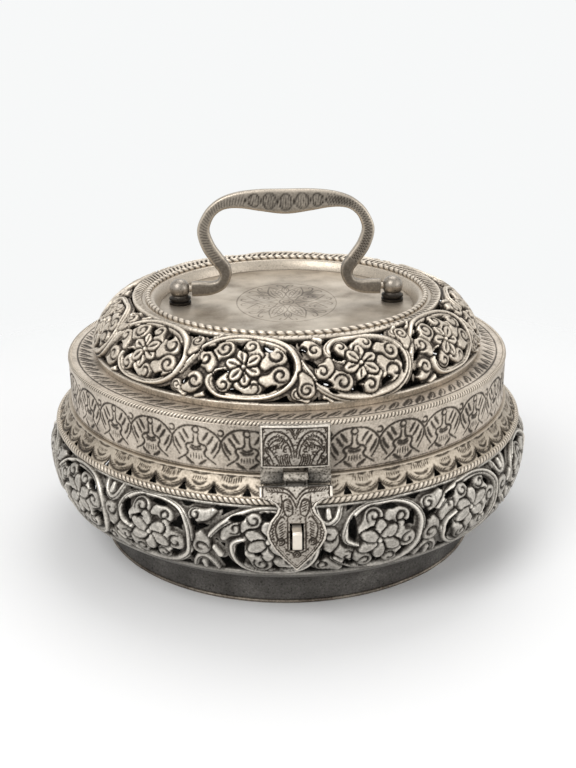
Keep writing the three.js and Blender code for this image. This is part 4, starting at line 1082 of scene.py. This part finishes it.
def ledge(strokes=92):
    length = 2 * np.pi * ledge_radius
    sheet = band_sheet(-length / 2, length, ledge_run, 0.6)
    sheet.height[:] = 0.3
    sheet.incise([(sheet.x[0] - 5, 3.0), (sheet.x[-1] + 5, 3.0)], 0.4, 0.3, 1)
    for k in range(-strokes // 2 - 2, strokes // 2 + 3):
        hand = np.random.default_rng(700 + k % strokes)
        left = k * length / strokes + hand.uniform(-0.2, 0.2)
        worn = hand.uniform(0.7, 1.2)
        leaf_strokes = (
            (0.5 * worn, 0.28 * worn, 4, (0, 3.8), (1.2, 5.6), (3.6, 7.4), (6.4, 9.2)),
            (0.34 * worn, 0.2 * worn, 4, (2.4, 4.0), (4.2, 5.2), (5.6, 6.6), (7.0, 8.8)),
            (0.22, 0.12 * worn, 3, (1.6, 4.8), (3.4, 6.2), (5.2, 7.6)))
        sheet.engrave(leaf_strokes, lambda x, y: (left + x, y))
    piece = worked_sheet("ledge_strokes", sheet, ledge_surface, 1.1, closed=True)
    dress(piece, "lid", engraved, "engraved_silver", "lid_ledge")


ledge()

# %% [markdown]
# ## Twisted wires
#
# Three wires edge the box. Each is two strands twisted together, which shows as a row of slanting
# grooves. A grid is wrapped round the wire's ring and closed, and its points are drawn in where a
# groove passes. Winding two real strands would take ten times as many faces, and a torus can't be
# made with enough parts along it. The lean is a whole number, so that the grooves close.

# %% A ring with slanting grooves
def twisted_wire(name, radius, z, thick, strokes, lean, mirrored=False, flat=1.0, narrow=4,
                 dull=0.8):
    along, around = strokes * 8, 12
    piece = grid(name, around, along)
    turn = np.linspace(-np.pi, np.pi, along + 1)[:, None]
    about = np.linspace(np.pi, -np.pi, around + 1)[None, :]
    way = np.where(turn < 0, -1, 1) if mirrored else 1
    groove = (0.5 - 0.5 * np.cos(strokes * turn + way * lean * about)) ** narrow
    grown = thick * (1 - 0.34 * groove)
    from_axis = radius + grown * np.cos(about)
    set_points(piece, np.stack([from_axis * np.sin(turn), -from_axis * np.cos(turn),
                                z + flat * grown * np.sin(about)], -1))
    put_finish_and_shade(piece, 0.84 - dull * groove, 1)
    edit(piece, merge_doubles, face_outwards)
    return smooth_all(piece)


body_rope = twisted_wire("body_rope", wall_top_radius, wall_top_z + 1.3, 1.42, 300, -2,
                         mirrored=True, narrow=5)
dress(body_rope, "body", rope_silver, "rope_wire", "body_rope_wire")
lid_rope = twisted_wire("lid_rope", lid_radius - 0.8, ledge_z - 0.7, 1.1, 400, -2)
dress(lid_rope, "lid", rope_silver, "rope_wire", "lid_rope_wire")
inner_rope = twisted_wire("inner_rope", high("lid_inner_rope", X) - 1.386, flange_z + 0.6, 1.3,
                          104, 1, flat=0.92, narrow=3, dull=0.6)
dress(inner_rope, "lid", rope_silver, "rope_wire", "lid_inner_rope")

# %% [markdown]
# ## Turned rings
#
# The foot, its wire, the rim, the well and the posts are plain round work. Each is a closed outline
# spun about an axis, with its corners bevelled, as a lathe or a hammer and stake would leave them.

# %% Spin an outline
def spun(name, outline, steps, corner, centre_x=0.0):
    """outline holds distances from the axis and heights, in millimetres, round a section."""
    piece = blank(name, bpy.ops.mesh.primitive_circle_add, vertices=len(outline), radius=1)
    for point, (r, z) in zip(piece.data.vertices, outline):
        point.co = (r * MM, 0, z * MM)
    edit(piece, select_all,
         lambda: bpy.ops.mesh.spin(steps=steps, angle=2 * math.pi, center=(0, 0, 0),
                                   axis=(0, 0, 1)),
         merge_doubles, face_outwards)
    if corner:
        apply_modifier(piece, "BEVEL", width=corner * MM, segments=2, limit_method="ANGLE",
                       angle_limit=math.radians(25))
    place = read(piece.data.vertices, "co", 3)
    place[:, X] += np.float32(centre_x * MM)
    piece.data.vertices.foreach_set("co", place.ravel())
    return smooth_under(piece, 40)


base_low, base_high = 1.6, 3.0
foot_outer = smooth_line([(foot_radius, base_low), (foot_radius, 6), (foot_radius, 9.6),
                          (91.7, 13.0), (93.6, 15.3), (wall_foot_radius, wall_foot_z)], 5)
foot = spun("foot_band", np.vstack([foot_outer, foot_outer[::-1] - (foot_sheet, 0)]), 240, 0.25)
dress(foot, "body", dark_silver, "dark_silver", "foot_ring")
wire_section = [(90.15 + 0.85 * math.cos(a), 0.8 + 0.8 * math.sin(a))
                for a in np.linspace(0, 2 * np.pi, 13)[:-1]]
foot_edge = spun("foot_edge_wire", wire_section, 240, 0)
dress(foot_edge, "body", edge_silver, "rope_wire", "foot_wire")
rim_top = high("body_rim", Z)
rim = spun("lid_seat_rim", [(rim_inner_radius, seat_z), (rim_outer_radius, seat_z),
                            (rim_outer_radius, rim_top - 0.7), (rim_outer_radius - 0.7, rim_top),
                            (rim_inner_radius, rim_top)], 200, 0.3)
dress(rim, "body", plain_silver, "dark_silver", "body_rim")
floor_plate = spun("floor_plate", [(0.4, 2.2), (40, 2.0), (80, 1.7), (foot_inner_radius, base_low),
                                   (foot_inner_radius, base_high), (80, base_high),
                                   (40, base_high), (0.4, base_high)], 160, 0)
dress(floor_plate, "body", dark_silver, "dark_silver", "base_plate")

# %% [markdown]
# ## The well
#
# Inside the gallery a short wall drops to the plate, and a flange at its top carries the inner rope.
# It is plain round work, so it is spun like the foot.

# %% The well between gallery and plate
well_top, well_foot, well_flange = plate_radius + 1.0, plate_radius - 1.2, 68.4
well = spun("well_wall", [(well_foot + 0.1, plate_z), (well_foot + 1.3, plate_z),
                          (well_top + 0.6, flange_z - 2.4), (well_top + 1.4, flange_z - 1.2),
                          (well_flange, flange_z - 1.2), (well_flange, flange_z),
                          (well_top + 0.8, flange_z), (well_top + 0.1, flange_z - 0.7)], 200, 0.2)
dress(well, "lid", plain_silver, "plain_silver", "lid_well_wall")

# %% [markdown]
# ## The sunk plate
#
# The plate is the quietest place of the box: smooth, pale and a little stained. In its middle lies
# a light engraving, here a plain oval medallion of leaves. The grid is fine only under it.

# %% A medallion of leaves
plate_thickness = plate_z - low("lid_top_plate", Z)
oval = 1.36
# Half of one leaf: half width, depth, steps and points, as distances out from the middle and aside
LEAF_LINES = (
    (0.24, 0.08, 6, (4.5, 0), (9, 3.6), (14, 3.4), (20.5, 0)),
    (0.22, 0.08, 6, (13, 4.6), (17, 6.6), (20.5, 6.2), (21, 4.4), (19, 4.4)),
    (0.18, 0.06, 2, (8.5, 0), (10.1, 1.7)),
    (0.18, 0.06, 2, (11, 0), (12.6, 1.7)),
    (0.18, 0.06, 2, (13.5, 0), (15.1, 1.7)),
    (0.18, 0.06, 3, (6.5, 1.2), (11, 2.2), (16, 1.4)),
    (0.2, 0.07, 3, (10.5, 5.4), (13, 7.2), (16.5, 8.0)),
)
LEAF_RIB = ((0.2, 0.07, 2, (5.5, 0), (17, 0)),)


def medallion(sheet):
    for turn in np.radians(np.arange(22.5, 360, 45)):
        ca, sa = math.cos(turn), math.sin(turn)
        for side in (-1, 1):
            sheet.engrave(LEAF_LINES, lambda out, off: (out * ca - side * off * sa,
                                                        oval * (out * sa + side * off * ca)))
        sheet.engrave(LEAF_RIB, lambda out, off: (out * ca, oval * out * sa))
    for radius in (3.4, 1.6, 23.6):
        ring = [(x, oval * y) for x, y in circle((0, 0), radius, steps=90)]
        sheet.incise(ring, 0.22, 0.07, 1)
    sheet.cut *= 0.9


def top_plate():
    wide, fine_cell, coarse_cell = plate_radius + 0.6, 0.36, 1.8

    def ruled(fine):
        outer = np.arange(fine, wide, coarse_cell)[1:]
        return np.concatenate([-outer[::-1], even_steps(-fine, fine, fine_cell), outer])

    sheet = Relief(ruled(25.0), ruled(33.5))
    medallion(sheet)
    from_middle = np.hypot(sheet.across, sheet.up)
    sheet.air = from_middle - (plate_radius - 0.2)
    # Painted shade: the plate darkens towards its rim, at the foot of the well wall.
    sheet.tone = 1 - 0.22 * np.clip((from_middle - 40) / 20, 0, 1) ** 2

    def surface(x, y):
        place = np.stack([x, y, np.full(x.shape, plate_z)], -1)
        return place, np.broadcast_to([0.0, 0.0, 1.0], place.shape)

    piece = worked_sheet("plate_medallion", sheet, surface, plate_thickness)
    dress(piece, "lid", plate_silver, "plate_silver", "lid_top_plate")


top_plate()

# %% [markdown]
# ## Posts and bail
#
# Two turned posts with ball heads carry the bail. The bail is one flat bow of silver, a bar with
# rounded corners that widens at the grip. A grid is wrapped round its centre line and closed. On its
# front and back the arms have slanting strokes, fainter on the left one, and the grip has a chain of
# hatched ovals. Near the posts it is plain and dark.

# %% Bail posts
# Distances from the post's axis and heights over the plate
COLLAR = ((1.6, 0), (4.9, 0), (5.2, 0.4), (5.2, 1.3), (4.3, 1.7), (4.3, 2.0), (5.15, 2.4),
          (5.1, 3.1), (4.2, 3.6))


def bail_post(side, name, cad):
    tail_top = low("lid_top_plate", Z) - 1
    outline = [(0.05, tail_top - 1.1), (2.1, tail_top - 1.1), (2.6, tail_top), (1.6, tail_top)]
    outline += [(r, plate_z + up) for r, up in COLLAR]
    outline += [(ball_radius * math.cos(turn), pivot_z + ball_radius * math.sin(turn))
                for turn in np.linspace(math.radians(-38), math.radians(89), 13)]
    piece = spun(name, outline, 64, 0, side * post_x)
    # Painted light: polish and shade both fall from the ball's upper half down to the collar, so the
    # ball is lighter on top and darker underneath.
    over_pivot = read(piece.data.vertices, "co", 3)[:, Z] / MM - pivot_z
    put_finish_and_shade(piece, 0.2 + 0.42 * np.clip((over_pivot + 4.2) / 3.5, 0, 1),
               0.35 + 0.65 * np.clip((over_pivot + 4.6) / 3.0, 0, 1))
    dress(piece, "lid", post_silver, "plain_silver", cad)


bail_post(-1, "post_left", "bail_post_left")
bail_post(1, "post_right", "bail_post_right")

# %% [markdown]
# ## The bow
#
# Half of the bow is given as shares of its span, and then mirrored. A curve with a bevel could follow
# it too, but this bar changes its width on the way and has strokes cut into it, so the points of the
# grid are placed by their formula.

# %% The bow of the bail
bail_end = post_x - ball_radius - 1
# From the post to the grip: share of the half span, height over the pivots, half width
BAIL_HALF = ((0.0, -0.1, 3.4), (0.105, 0.0, 3.4), (0.208, 0.2, 3.0), (0.306, 1.9, 2.6),
             (0.356, 5.7, 2.7), (0.347, 9.7, 3.1), (0.271, 14.5, 3.1), (0.186, 20.3, 3.1),
             (0.141, 27.7, 2.9), (0.195, 34.4, 2.5), (0.284, 38.6, 2.5), (0.396, 40.9, 3.0),
             (0.553, 41.8, 3.9), (0.754, 41.5, 5.0), (1.0, 40.85, 5.66))
bail_depth, groove_depth = 2.3, 0.32
# Lengths along the bow from its middle: the engraved grip, and where the bare ends begin
grip_run, bare_run = 19, 62


def bail_line():
    right = [(bail_end * (1 - share), up, wide) for share, up, wide in reversed(BAIL_HALF)]
    left = [(-x, up, wide) for x, up, wide in reversed(right[1:])]
    dense = smooth_line(left + right, 40)
    run, _ = outline_run(dense[:, :2])
    even = even_steps(0, run[-1], 0.45)
    return even, np.stack([np.interp(even, run, dense[:, k]) for k in range(3)], -1)


def squared(wave, power):
    """A sine wave with flat crests, which gives a bar with rounded corners."""
    return np.sign(wave) * np.abs(wave) ** power


def strokes_at(run, beat):
    return np.clip(np.cos(2 * np.pi * run / beat), 0, 1) ** 3


def bail_cuts(run, across, half):
    """How deep the graver goes, from 0 to 1. run is measured from the bow's middle."""
    slanting = strokes_at(run + 0.35 * across * np.sign(run), 1.35) * np.where(run < 0, 0.5, 1)
    arms = np.where((np.abs(across) > half - 0.9) | (np.abs(run) > bare_run), 0, slanting)
    weave = 3.9 * np.cos(np.pi * run / 7.6) * np.clip((21 - np.abs(run)) / 8, 0, 1)
    ovals = ridge(across - weave, 0.42) + ridge(across + weave, 0.42)
    hatch = 0.7 * strokes_at(run + 0.5 * across, 1.15) * (np.abs(across) < np.abs(weave) - 0.8)
    return np.where(np.abs(run) < grip_run, np.clip(ovals + hatch, 0, 1), arms)


def bail():
    run, line = bail_line()
    along = np.gradient(line[:, :2], axis=0)
    along /= np.hypot(*along.T)[:, None]
    outward = np.stack([-along[:, 1], along[:, 0]], -1)
    from_middle, half = run[:, None] - run[-1] / 2, line[:, 2:3]
    around = 40
    turn = np.linspace(0, 2 * np.pi, around + 1)
    wide, deep = squared(np.cos(turn), 0.55)[None, :], squared(np.sin(turn), 0.38)[None, :]
    across = half * wide
    face = np.clip((np.abs(deep) - 0.9) * 10, 0, 1)
    worn = bail_cuts(from_middle, across, half) * face
    depth = bail_depth * deep - np.sign(deep) * groove_depth * worn
    piece = grid("bail_bow", around, len(run) - 1)
    set_points(piece, np.stack([line[:, 0:1] + outward[:, 0:1] * across, depth,
                                pivot_z + line[:, 1:2] + outward[:, 1:2] * across], -1))
    edge_shine = 0.25 * ridge(np.abs(across) - half + 0.5, 0.6)
    dark_end = 0.16 * (np.abs(from_middle) > bare_run)
    put_finish_and_shade(piece, np.clip(0.6 + edge_shine - 0.55 * worn - dark_end, 0, 1), 1)
    edit(piece, merge_doubles, select_all, lambda: bpy.ops.mesh.fill_holes(sides=0), face_outwards)
    smooth_under(piece, 50)
    dress(piece, "bail", bail_silver, "bail_silver", "bail_handle")


def rod(name, place, radius, length, sides, corner):
    """A round bar along X with bevelled ends."""
    piece = blank(name, bpy.ops.mesh.primitive_cylinder_add, vertices=sides, radius=radius * MM,
                  depth=length * MM, location=[at * MM for at in place],
                  rotation=(0, math.pi / 2, 0))
    bpy.ops.object.transform_apply(location=True, rotation=True, scale=True)
    apply_modifier(piece, "BEVEL", width=corner * MM, segments=2)
    return smooth_under(piece, 40)


bail()
for side, name in ((-1, "bail_pivot_left"), (1, "bail_pivot_right")):
    pivot = rod(name, (side * (bail_end + 1.5), 0, pivot_z), 1.5, 7, 32, 0.3)
    dress(pivot, "bail", plain_silver, "bail_silver", "bail_handle")

# %% [markdown]
# ## Hinge plates, hasp and staple
#
# The solids of the hinges and of the staple have the right form but hard edges. A softened copy of
# each is merged, its flat faces are joined, and its edges are bevelled. The engraved faces of the
# hinge plate and of the hasp leaf are worked sheets again, stippled between their lines.

# %% Softened copies of solids
def softened(cad, name, width, body, finish, slot):
    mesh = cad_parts[cad].data.copy()
    piece = bpy.data.objects.new(name, mesh)
    scene.collection.objects.link(piece)
    mesh.name = name
    edit(piece, merge_doubles, lambda: bpy.ops.mesh.dissolve_limited(angle_limit=math.radians(2)))
    apply_modifier(piece, "BEVEL", width=width * MM, segments=2, limit_method="ANGLE",
                   angle_limit=math.radians(35))
    put_finish_and_shade(piece, 0.5, 0.9)
    return dress(smooth_under(piece, 35), body, finish, slot, cad)


# The strap of the staple is a little wider than its solid and is painted brighter, as a highlight.
# The notch round the hasp's knuckle and the plate's lower edge are painted dark as shade.
strap_share = 1.32
strap = softened("staple", "staple_strap", 0.25, "body", strap_highlight_silver, "plain_silver")
places = read(strap.data.vertices, "co", 3)
places[:, X] *= strap_share
strap.data.vertices.foreach_set("co", places.ravel())
plate_blank = softened("hasp_hinge_plate", "hinge_plate_blank", 0.2, "lid", barrel_silver,
                       "hinge_silver")
places = read(plate_blank.data.vertices, "co", 3) / MM
over_barrel = places[:, Z] - barrel_z
shaded_notch = (np.abs(places[:, X]) < 5.7) & (np.abs(over_barrel) < 3.6)
plate_painted_shade = np.where(shaded_notch, 0.08, 0.3 + 0.6 * np.clip((over_barrel + 2.2) / 1.6, 0, 1))
plate_blank.data.attributes["tone"].data.foreach_set("value", plate_painted_shade.astype(np.float32))
softened("rear_hinge_body_leaf", "rear_leaf_body", 0.2, "body", hinge_silver, "hinge_silver")
softened("rear_hinge_lid_leaf", "rear_leaf_lid", 0.2, "lid", hinge_silver, "hinge_silver")


def stipple(sheet, count, wide, low_end, high_end):
    """Small punched dots over the ground between the lines."""
    hand = np.random.default_rng(900)
    for x, y in zip(hand.uniform(-wide, wide, count), hand.uniform(low_end, high_end, count)):
        sheet.incise([(x, y), (x + 0.15, y + 0.1)], 0.24, 0.2, 1)
    sheet.cut = np.clip(1.3 * sheet.cut, 0, 1)


# %% [markdown]
# ## The front hinge plate
#
# Curling leaves fill the plate, with short hatching between the lines. Only the right half is written
# down. The face is a thin sheet laid on the softened plate, because lines this fine would need far
# too many faces on the plate itself.

# %% Engraved face of the front hinge plate
plate_low, plate_high = barrel_z + 3.2, high("hasp_hinge_plate", Z)
plate_face_radius = lid_radius + 0.12 + 2.0
plate_half, drawn_height = 13.8, 17
# The right half: half width, depth, steps and points of each line
HINGE_LINES = (
    (0.3, 0.4, 6, (0.3, 4.5), (0.9, 8.5), (2.8, 12.4), (6.2, 14.6), (10.0, 13.9), (12.2, 10.8),
     (12.4, 5.6)),
    (0.26, 0.35, 6, (1.3, 4.0), (2.2, 8.4), (4.2, 11.4), (7.2, 12.6), (9.8, 11.4), (10.6, 9.4),
     (9.6, 8.0)),
    (0.26, 0.35, 6, (6.2, 1.4), (7.4, 4.2), (9.8, 7.4), (11.4, 8.4), (11.6, 6.8), (10.0, 4.6),
     (8.6, 1.6)),
    (0.32, 0.4, 2, (0.2, 13.2), (1.3, 15.6)),
    (0.24, 0.3, 4, (0.1, 11.4), (2.2, 15.4), (5.4, 16.0)),
    *((0.22, 0.3, 2, (3.2 + k, 13.4 - 0.16 * (k - 3.5) ** 2),
       (3.9 + k, 12.4 - 0.16 * (k - 3.5) ** 2)) for k in range(8)),
    *((0.22, 0.3, 3, (3.4 + 1.1 * k, 10.4 - 0.5 * abs(k - 2)),
       (4.3 + 1.1 * k, 9.6 - 0.5 * abs(k - 2)), (4.3 + 1.1 * k, 8.4 - 0.5 * abs(k - 2)))
      for k in range(6)),
    *((0.2, 0.3, 3, (1.4 + 0.95 * k, 1.0), (2.4 + 0.9 * k, 3.6), (1.9 + 0.9 * k, 5.6))
      for k in range(5)),
    *((0.22, 0.3, 2, (9.6 + k, 1.0 + 0.4 * k), (11.4 + 0.5 * k, 3.4 + 0.7 * k)) for k in range(4)),
    *((0.2, 0.25, 2, (4.2 + 0.7 * k, 12.0 - 0.1 * (k - 3) ** 2),
       (4.9 + 0.7 * k, 10.9 - 0.1 * (k - 3) ** 2)) for k in range(9)),
)
HINGE_CURLS = ((4.0, 7.2), (6.4, 8.8), (3.4, 5.0), (7.6, 5.8), (12.6, 14.8), (10.9, 4.0))


def hinge_face(cell=0.3):
    face_radius = plate_face_radius + 0.02
    surface, top = turned_surface([(face_radius, plate_low), (face_radius, plate_high)],
                                  plate_face_radius, 0.0)
    sheet = Relief(even_steps(-plate_half, plate_half, cell), even_steps(0.1, top - 0.1, cell))
    sheet.height[:] = 0.3
    for side in (-1, 1):
        sheet.engrave(HINGE_LINES, lambda x, y: (side * x, y * top / drawn_height))
        sheet.incise(circle((side * 10.7, 7.4 * top / drawn_height), 0.5, 0, 300, 8), 0.2, 0.25, 1)
        for x, y in HINGE_CURLS:
            curl = circle((side * x, y * top / drawn_height), 0.7, 40, 280, 8)
            sheet.incise(curl, 0.22, 0.3, 1)
    stipple(sheet, 260, 12.4, 1.2, top - 1.2)
    # Painted shade: the face is lighter towards its top and darker towards the barrels.
    sheet.tone = 0.88 + 0.2 * np.clip((sheet.up - 3) / 9, 0, 1)
    border = np.minimum(plate_half - np.abs(sheet.across), np.minimum(sheet.up, top - sheet.up))
    sheet.height = np.where(border < 0.9, 0.5 * quarter_round(border, 0.5), sheet.height)
    inner_line = (border > 0.9) & (border < 1.3)
    sheet.cut = np.where(inner_line, 0.9, np.where(border < 0.9, -0.5, sheet.cut))
    piece = worked_sheet("hinge_plate_face", sheet, surface, 0.4)
    dress(piece, "lid", hinge_silver, "hinge_silver", "hasp_hinge_plate")


hinge_face()

# %% [markdown]
# ## The hasp leaf
#
# The hasp is a pointed leaf that follows the bulge of the wall, with a slot for the staple. It could
# be cut out with a boolean, but as a worked sheet its outline, slot and engraving come from one
# drawing, which is then bent to the leaf's side view.

# %% The hasp leaf
# Seen from the side: how far out from the bulge, and how far over the barrel's middle
HASP_SIDE = ((-5.9, 0.0), (-6.6, -2.6), (-3, -7.7), (-1.6, -10.5), (0.6, -15.9), (1.6, -21.4),
             (1, -28), (-1.4, -37.6))
slot_half, slot_top, slot_bottom = 2.8, 15.5, 27.4
leaf_sink, leaf_lift = 0.9, 0.25
# The right half, with y as the length down from the barrel
HASP_LINES = (
    (0.28, 0.35, 6, (0.0, 8.4), (1.5, 6.4), (3.4, 4.6), (6.6, 3.6), (11.8, 3.6)),
    (0.24, 0.3, 6, (0.1, 11.6), (1.4, 8.4), (3.4, 6.2), (6.6, 5.4), (11.2, 5.3)),
    (0.24, 0.3, 6, (1.7, 14.2), (1.5, 11.4), (3.0, 8.4), (4.9, 9.2), (5.0, 12.4), (3.6, 15.0),
     (1.7, 14.2)),
    (0.24, 0.3, 6, (5.9, 6.6), (5.6, 9.6), (6.4, 12.2), (8.6, 14.6), (10.0, 18.0)),
    (0.24, 0.3, 6, (4.6, 16.0), (5.6, 15.0), (7.4, 17.0), (8.4, 20.0), (7.4, 24.0), (5.2, 24.6)),
    (0.24, 0.3, 2, (3.6, 15.6), (3.6, 29.6)),
    (0.22, 0.3, 3, (1.6, 30.6), (3.4, 29.6), (4.6, 28.2)),
    *((0.18, 0.25, 2, (5.0 + k, 5.0), (6.0 + k, 4.0)) for k in range(7)),
    *((0.17, 0.25, 2, (2.2, 13.2 - 0.95 * k), (4.2, 12.2 - 0.9 * k)) for k in range(5)),
    *((0.18, 0.25, 2, (8.9, 16.8 + 1.1 * k), (10.4 - 0.1 * k, 17.6 + 1.1 * k)) for k in range(7)),
    *((0.18, 0.25, 2, (5.2, 16.8 + k), (6.8, 17.7 + k)) for k in range(7)),
)


def hasp_half_width(drop):
    """Half of the leaf's width at each drop under the barrel's middle, from the bar to the tip."""
    drops = (0, 2.3, 2.4, 6.4, 7.2, 8.4, 10, 12, 15, 19, 22, 26, 31, 36.4, 37.6)
    halves = (4.8, 4.8, 14.5, 14.5, 11.0, 8.6, 7.2, 7.9, 10.6, 12, 11.4, 9.2, 5.6, 1.1, 0.0)
    return np.interp(drop, drops, halves)


def hasp_leaf(cell=0.33):
    middle = smooth_line([(-(bulge_radius + leaf_sink + out), barrel_z + down)
                          for out, down in HASP_SIDE], 10)
    run, front = outline_run(middle)
    sheet = Relief(even_steps(-15, 15, cell), even_steps(-0.5, run[-1] + 0.5, cell))
    drop = barrel_z - np.interp(sheet.up, run, middle[:, 1])
    far = np.abs(sheet.across)
    inner = hasp_half_width(drop) - far
    slot = -np.maximum(far - slot_half, np.maximum(slot_top - drop, drop - slot_bottom))
    sheet.air = np.maximum(-inner, slot)
    sheet.height[:] = 0.3
    for side in (-1, 1):
        sheet.engrave(HASP_LINES, lambda x, y: (side * x, y))
        sheet.incise(circle((side * 6.3, 25.2), 1.5, 60, 330, 12), 0.26, 0.35, 1)
        sheet.incise(circle((side * 6.3, 25.2), 0.6, 60, 330, 8), 0.2, 0.25, 1)
    sheet.incise(circle((0, 31.4), 1.5, 90, 360, 14), 0.24, 0.35, 1)
    sheet.incise(circle((0, 31.4), 0.6, 90, 300, 10), 0.2, 0.3, 1)
    stipple(sheet, 320, 13.0, 3.2, 34.0)
    # Painted shade: the hasp's bar just under the barrels is painted dark.
    sheet.tone = np.where(drop < 3.0, 0.22, 1.0)
    sheet.cut = np.where((inner > 2.1) & (inner < 2.5) & (drop > 8), 0.9, sheet.cut)
    sheet.height = np.where(inner < 1.0, 0.5 * quarter_round(inner, 0.5), sheet.height)
    inner_line = (inner > 0.9) & (inner < 1.5)
    sheet.cut = np.where(inner_line, 1.0, np.where(inner < 0.9, -0.35, sheet.cut))

    def surface(x, y):
        place_y, place_z = np.interp(y, run, middle[:, 0]), np.interp(y, run, middle[:, 1])
        ny, nz = np.interp(y, run, front[:, 0]), np.interp(y, run, front[:, 1])
        place = np.stack([-x, place_y + leaf_lift * ny, place_z + leaf_lift * nz], -1)
        return place, np.stack([0 * x, ny, nz], -1)

    piece = worked_sheet("hasp_leaf_face", sheet, surface, 0.95)
    dress(piece, "hasp", hinge_silver, "hinge_silver", "hasp_leaf")


hasp_leaf()
knuckle = rod("hasp_knuckle", (0, barrel_y, barrel_z), 2.2, 9.6, 40, 0.25)
put_finish_and_shade(knuckle, 0.48, 1)
dress(knuckle, "hasp", barrel_silver, "hinge_silver", "hasp_leaf")

# %% [markdown]
# ## What stays as it is
#
# The pins and washers are small round solids with the right form. They only get a finish.

# %% Finish of the kept solids
for cad in ("hasp_pin", "rear_hinge_pin", "bail_washer_left", "bail_washer_right"):
    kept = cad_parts[cad]
    kept.data.materials.clear()
    kept.data.materials.append(plain_silver)

# %% [markdown]
# ## Table, light and camera
#
# The box stands on a white sweep in soft light, a large lamp over the left front and a weaker one on
# the right. The world is white for what the camera and the metal see, and grey as a light.

# %% Table and world
table = blank("table", bpy.ops.mesh.primitive_plane_add, size=6, location=(0, 0, 0))
table_finish, tree, shader = node_material("table_white")
shader.inputs["Base Color"].default_value = (0.9, 0.9, 0.9, 1)
shader.inputs["Roughness"].default_value = 0.7
place = node(tree, "ShaderNodeTexCoord").outputs["Object"]
away = node(tree, "ShaderNodeVectorMath", {0: place}, operation="LENGTH").outputs["Value"]
fade = node(tree, "ShaderNodeMapRange", {"Value": away, "From Min": 0.16, "From Max": 0.46},
            interpolation_type="SMOOTHSTEP").outputs[0]
clear = node(tree, "ShaderNodeBsdfTransparent").outputs[0]
sweep = node(tree, "ShaderNodeMixShader", {0: fade, 1: shader.outputs[0], 2: clear}).outputs[0]
feed(tree, tree.nodes["Material Output"].inputs["Surface"], sweep)
table.data.materials.append(table_finish)

world = bpy.data.worlds.new("studio")
scene.world = world
world.use_nodes = True
tree = world.node_tree
tree.nodes.clear()
rays = node(tree, "ShaderNodeLightPath").outputs
mirrored = math_node(tree, "MAXIMUM", rays["Is Glossy Ray"], rays["Is Transmission Ray"])
seen = math_node(tree, "MAXIMUM", rays["Is Camera Ray"], mirrored)
white = node(tree, "ShaderNodeBackground", {"Color": (0.93, 0.94, 0.94, 1), "Strength": 1.0})
grey = node(tree, "ShaderNodeBackground", {"Color": (1, 1, 1, 1), "Strength": 0.55})
mix = node(tree, "ShaderNodeMixShader", {0: seen, 1: grey.outputs[0], 2: white.outputs[0]})
node(tree, "ShaderNodeOutputWorld", {"Surface": mix.outputs[0]})

# %% [markdown]
# ## Lamps
#
# Metal shows its lamps as highlights, so they are large discs, which give broad and soft ones. They
# are kept weak, so that pale places don't burn out.

# %% Lamps
LIT_POINT = Vector((0, 0, 0.08))


def lamp(name, place, size, watts):
    data = bpy.data.lights.new(name, "AREA")
    data.shape = "DISK"
    data.size = size
    data.energy = watts
    made = bpy.data.objects.new(name, data)
    scene.collection.objects.link(made)
    made.location = place
    made.rotation_mode = "QUATERNION"
    made.rotation_quaternion = (LIT_POINT - Vector(place)).to_track_quat("-Z", "Y")


lamp("key", (-0.55, -0.65, 0.95), 0.7, 7)
lamp("fill", (0.8, -0.4, 0.5), 0.8, 2.2)
lamp("top", (0.1, 0.5, 1.1), 0.8, 4)

# %% [markdown]
# ## Camera
#
# The camera stands a little to the left of the hasp and looks down on the lid. Its distance, height
# and lens were fitted to the photograph.

# %% Camera
camera_distance, camera_height = 502.6 * MM, 256.56 * MM
camera_left, pitch_down, roll = (math.radians(turn) for turn in (1.6, 20.65, -0.5))
photo_long_side, lens_pixels = 768, 1100
camera_data = bpy.data.cameras.new("camera")
camera = bpy.data.objects.new("camera", camera_data)
scene.collection.objects.link(camera)
scene.camera = camera
camera_data.sensor_width = 36
camera_data.lens = lens_pixels / photo_long_side * camera_data.sensor_width
camera_data.clip_start = 0.01
camera_data.shift_x = 0.001
camera.location = (-camera_distance * math.sin(camera_left),
                   -camera_distance * math.cos(camera_left), camera_height)
look = Vector((math.sin(camera_left) * math.cos(pitch_down),
               math.cos(camera_left) * math.cos(pitch_down), -math.sin(pitch_down)))
camera.rotation_mode = "QUATERNION"
camera.rotation_quaternion = look.to_track_quat("-Z", "Y") @ Quaternion((0, 0, 1), roll)
scene.view_settings.view_transform = "Standard"
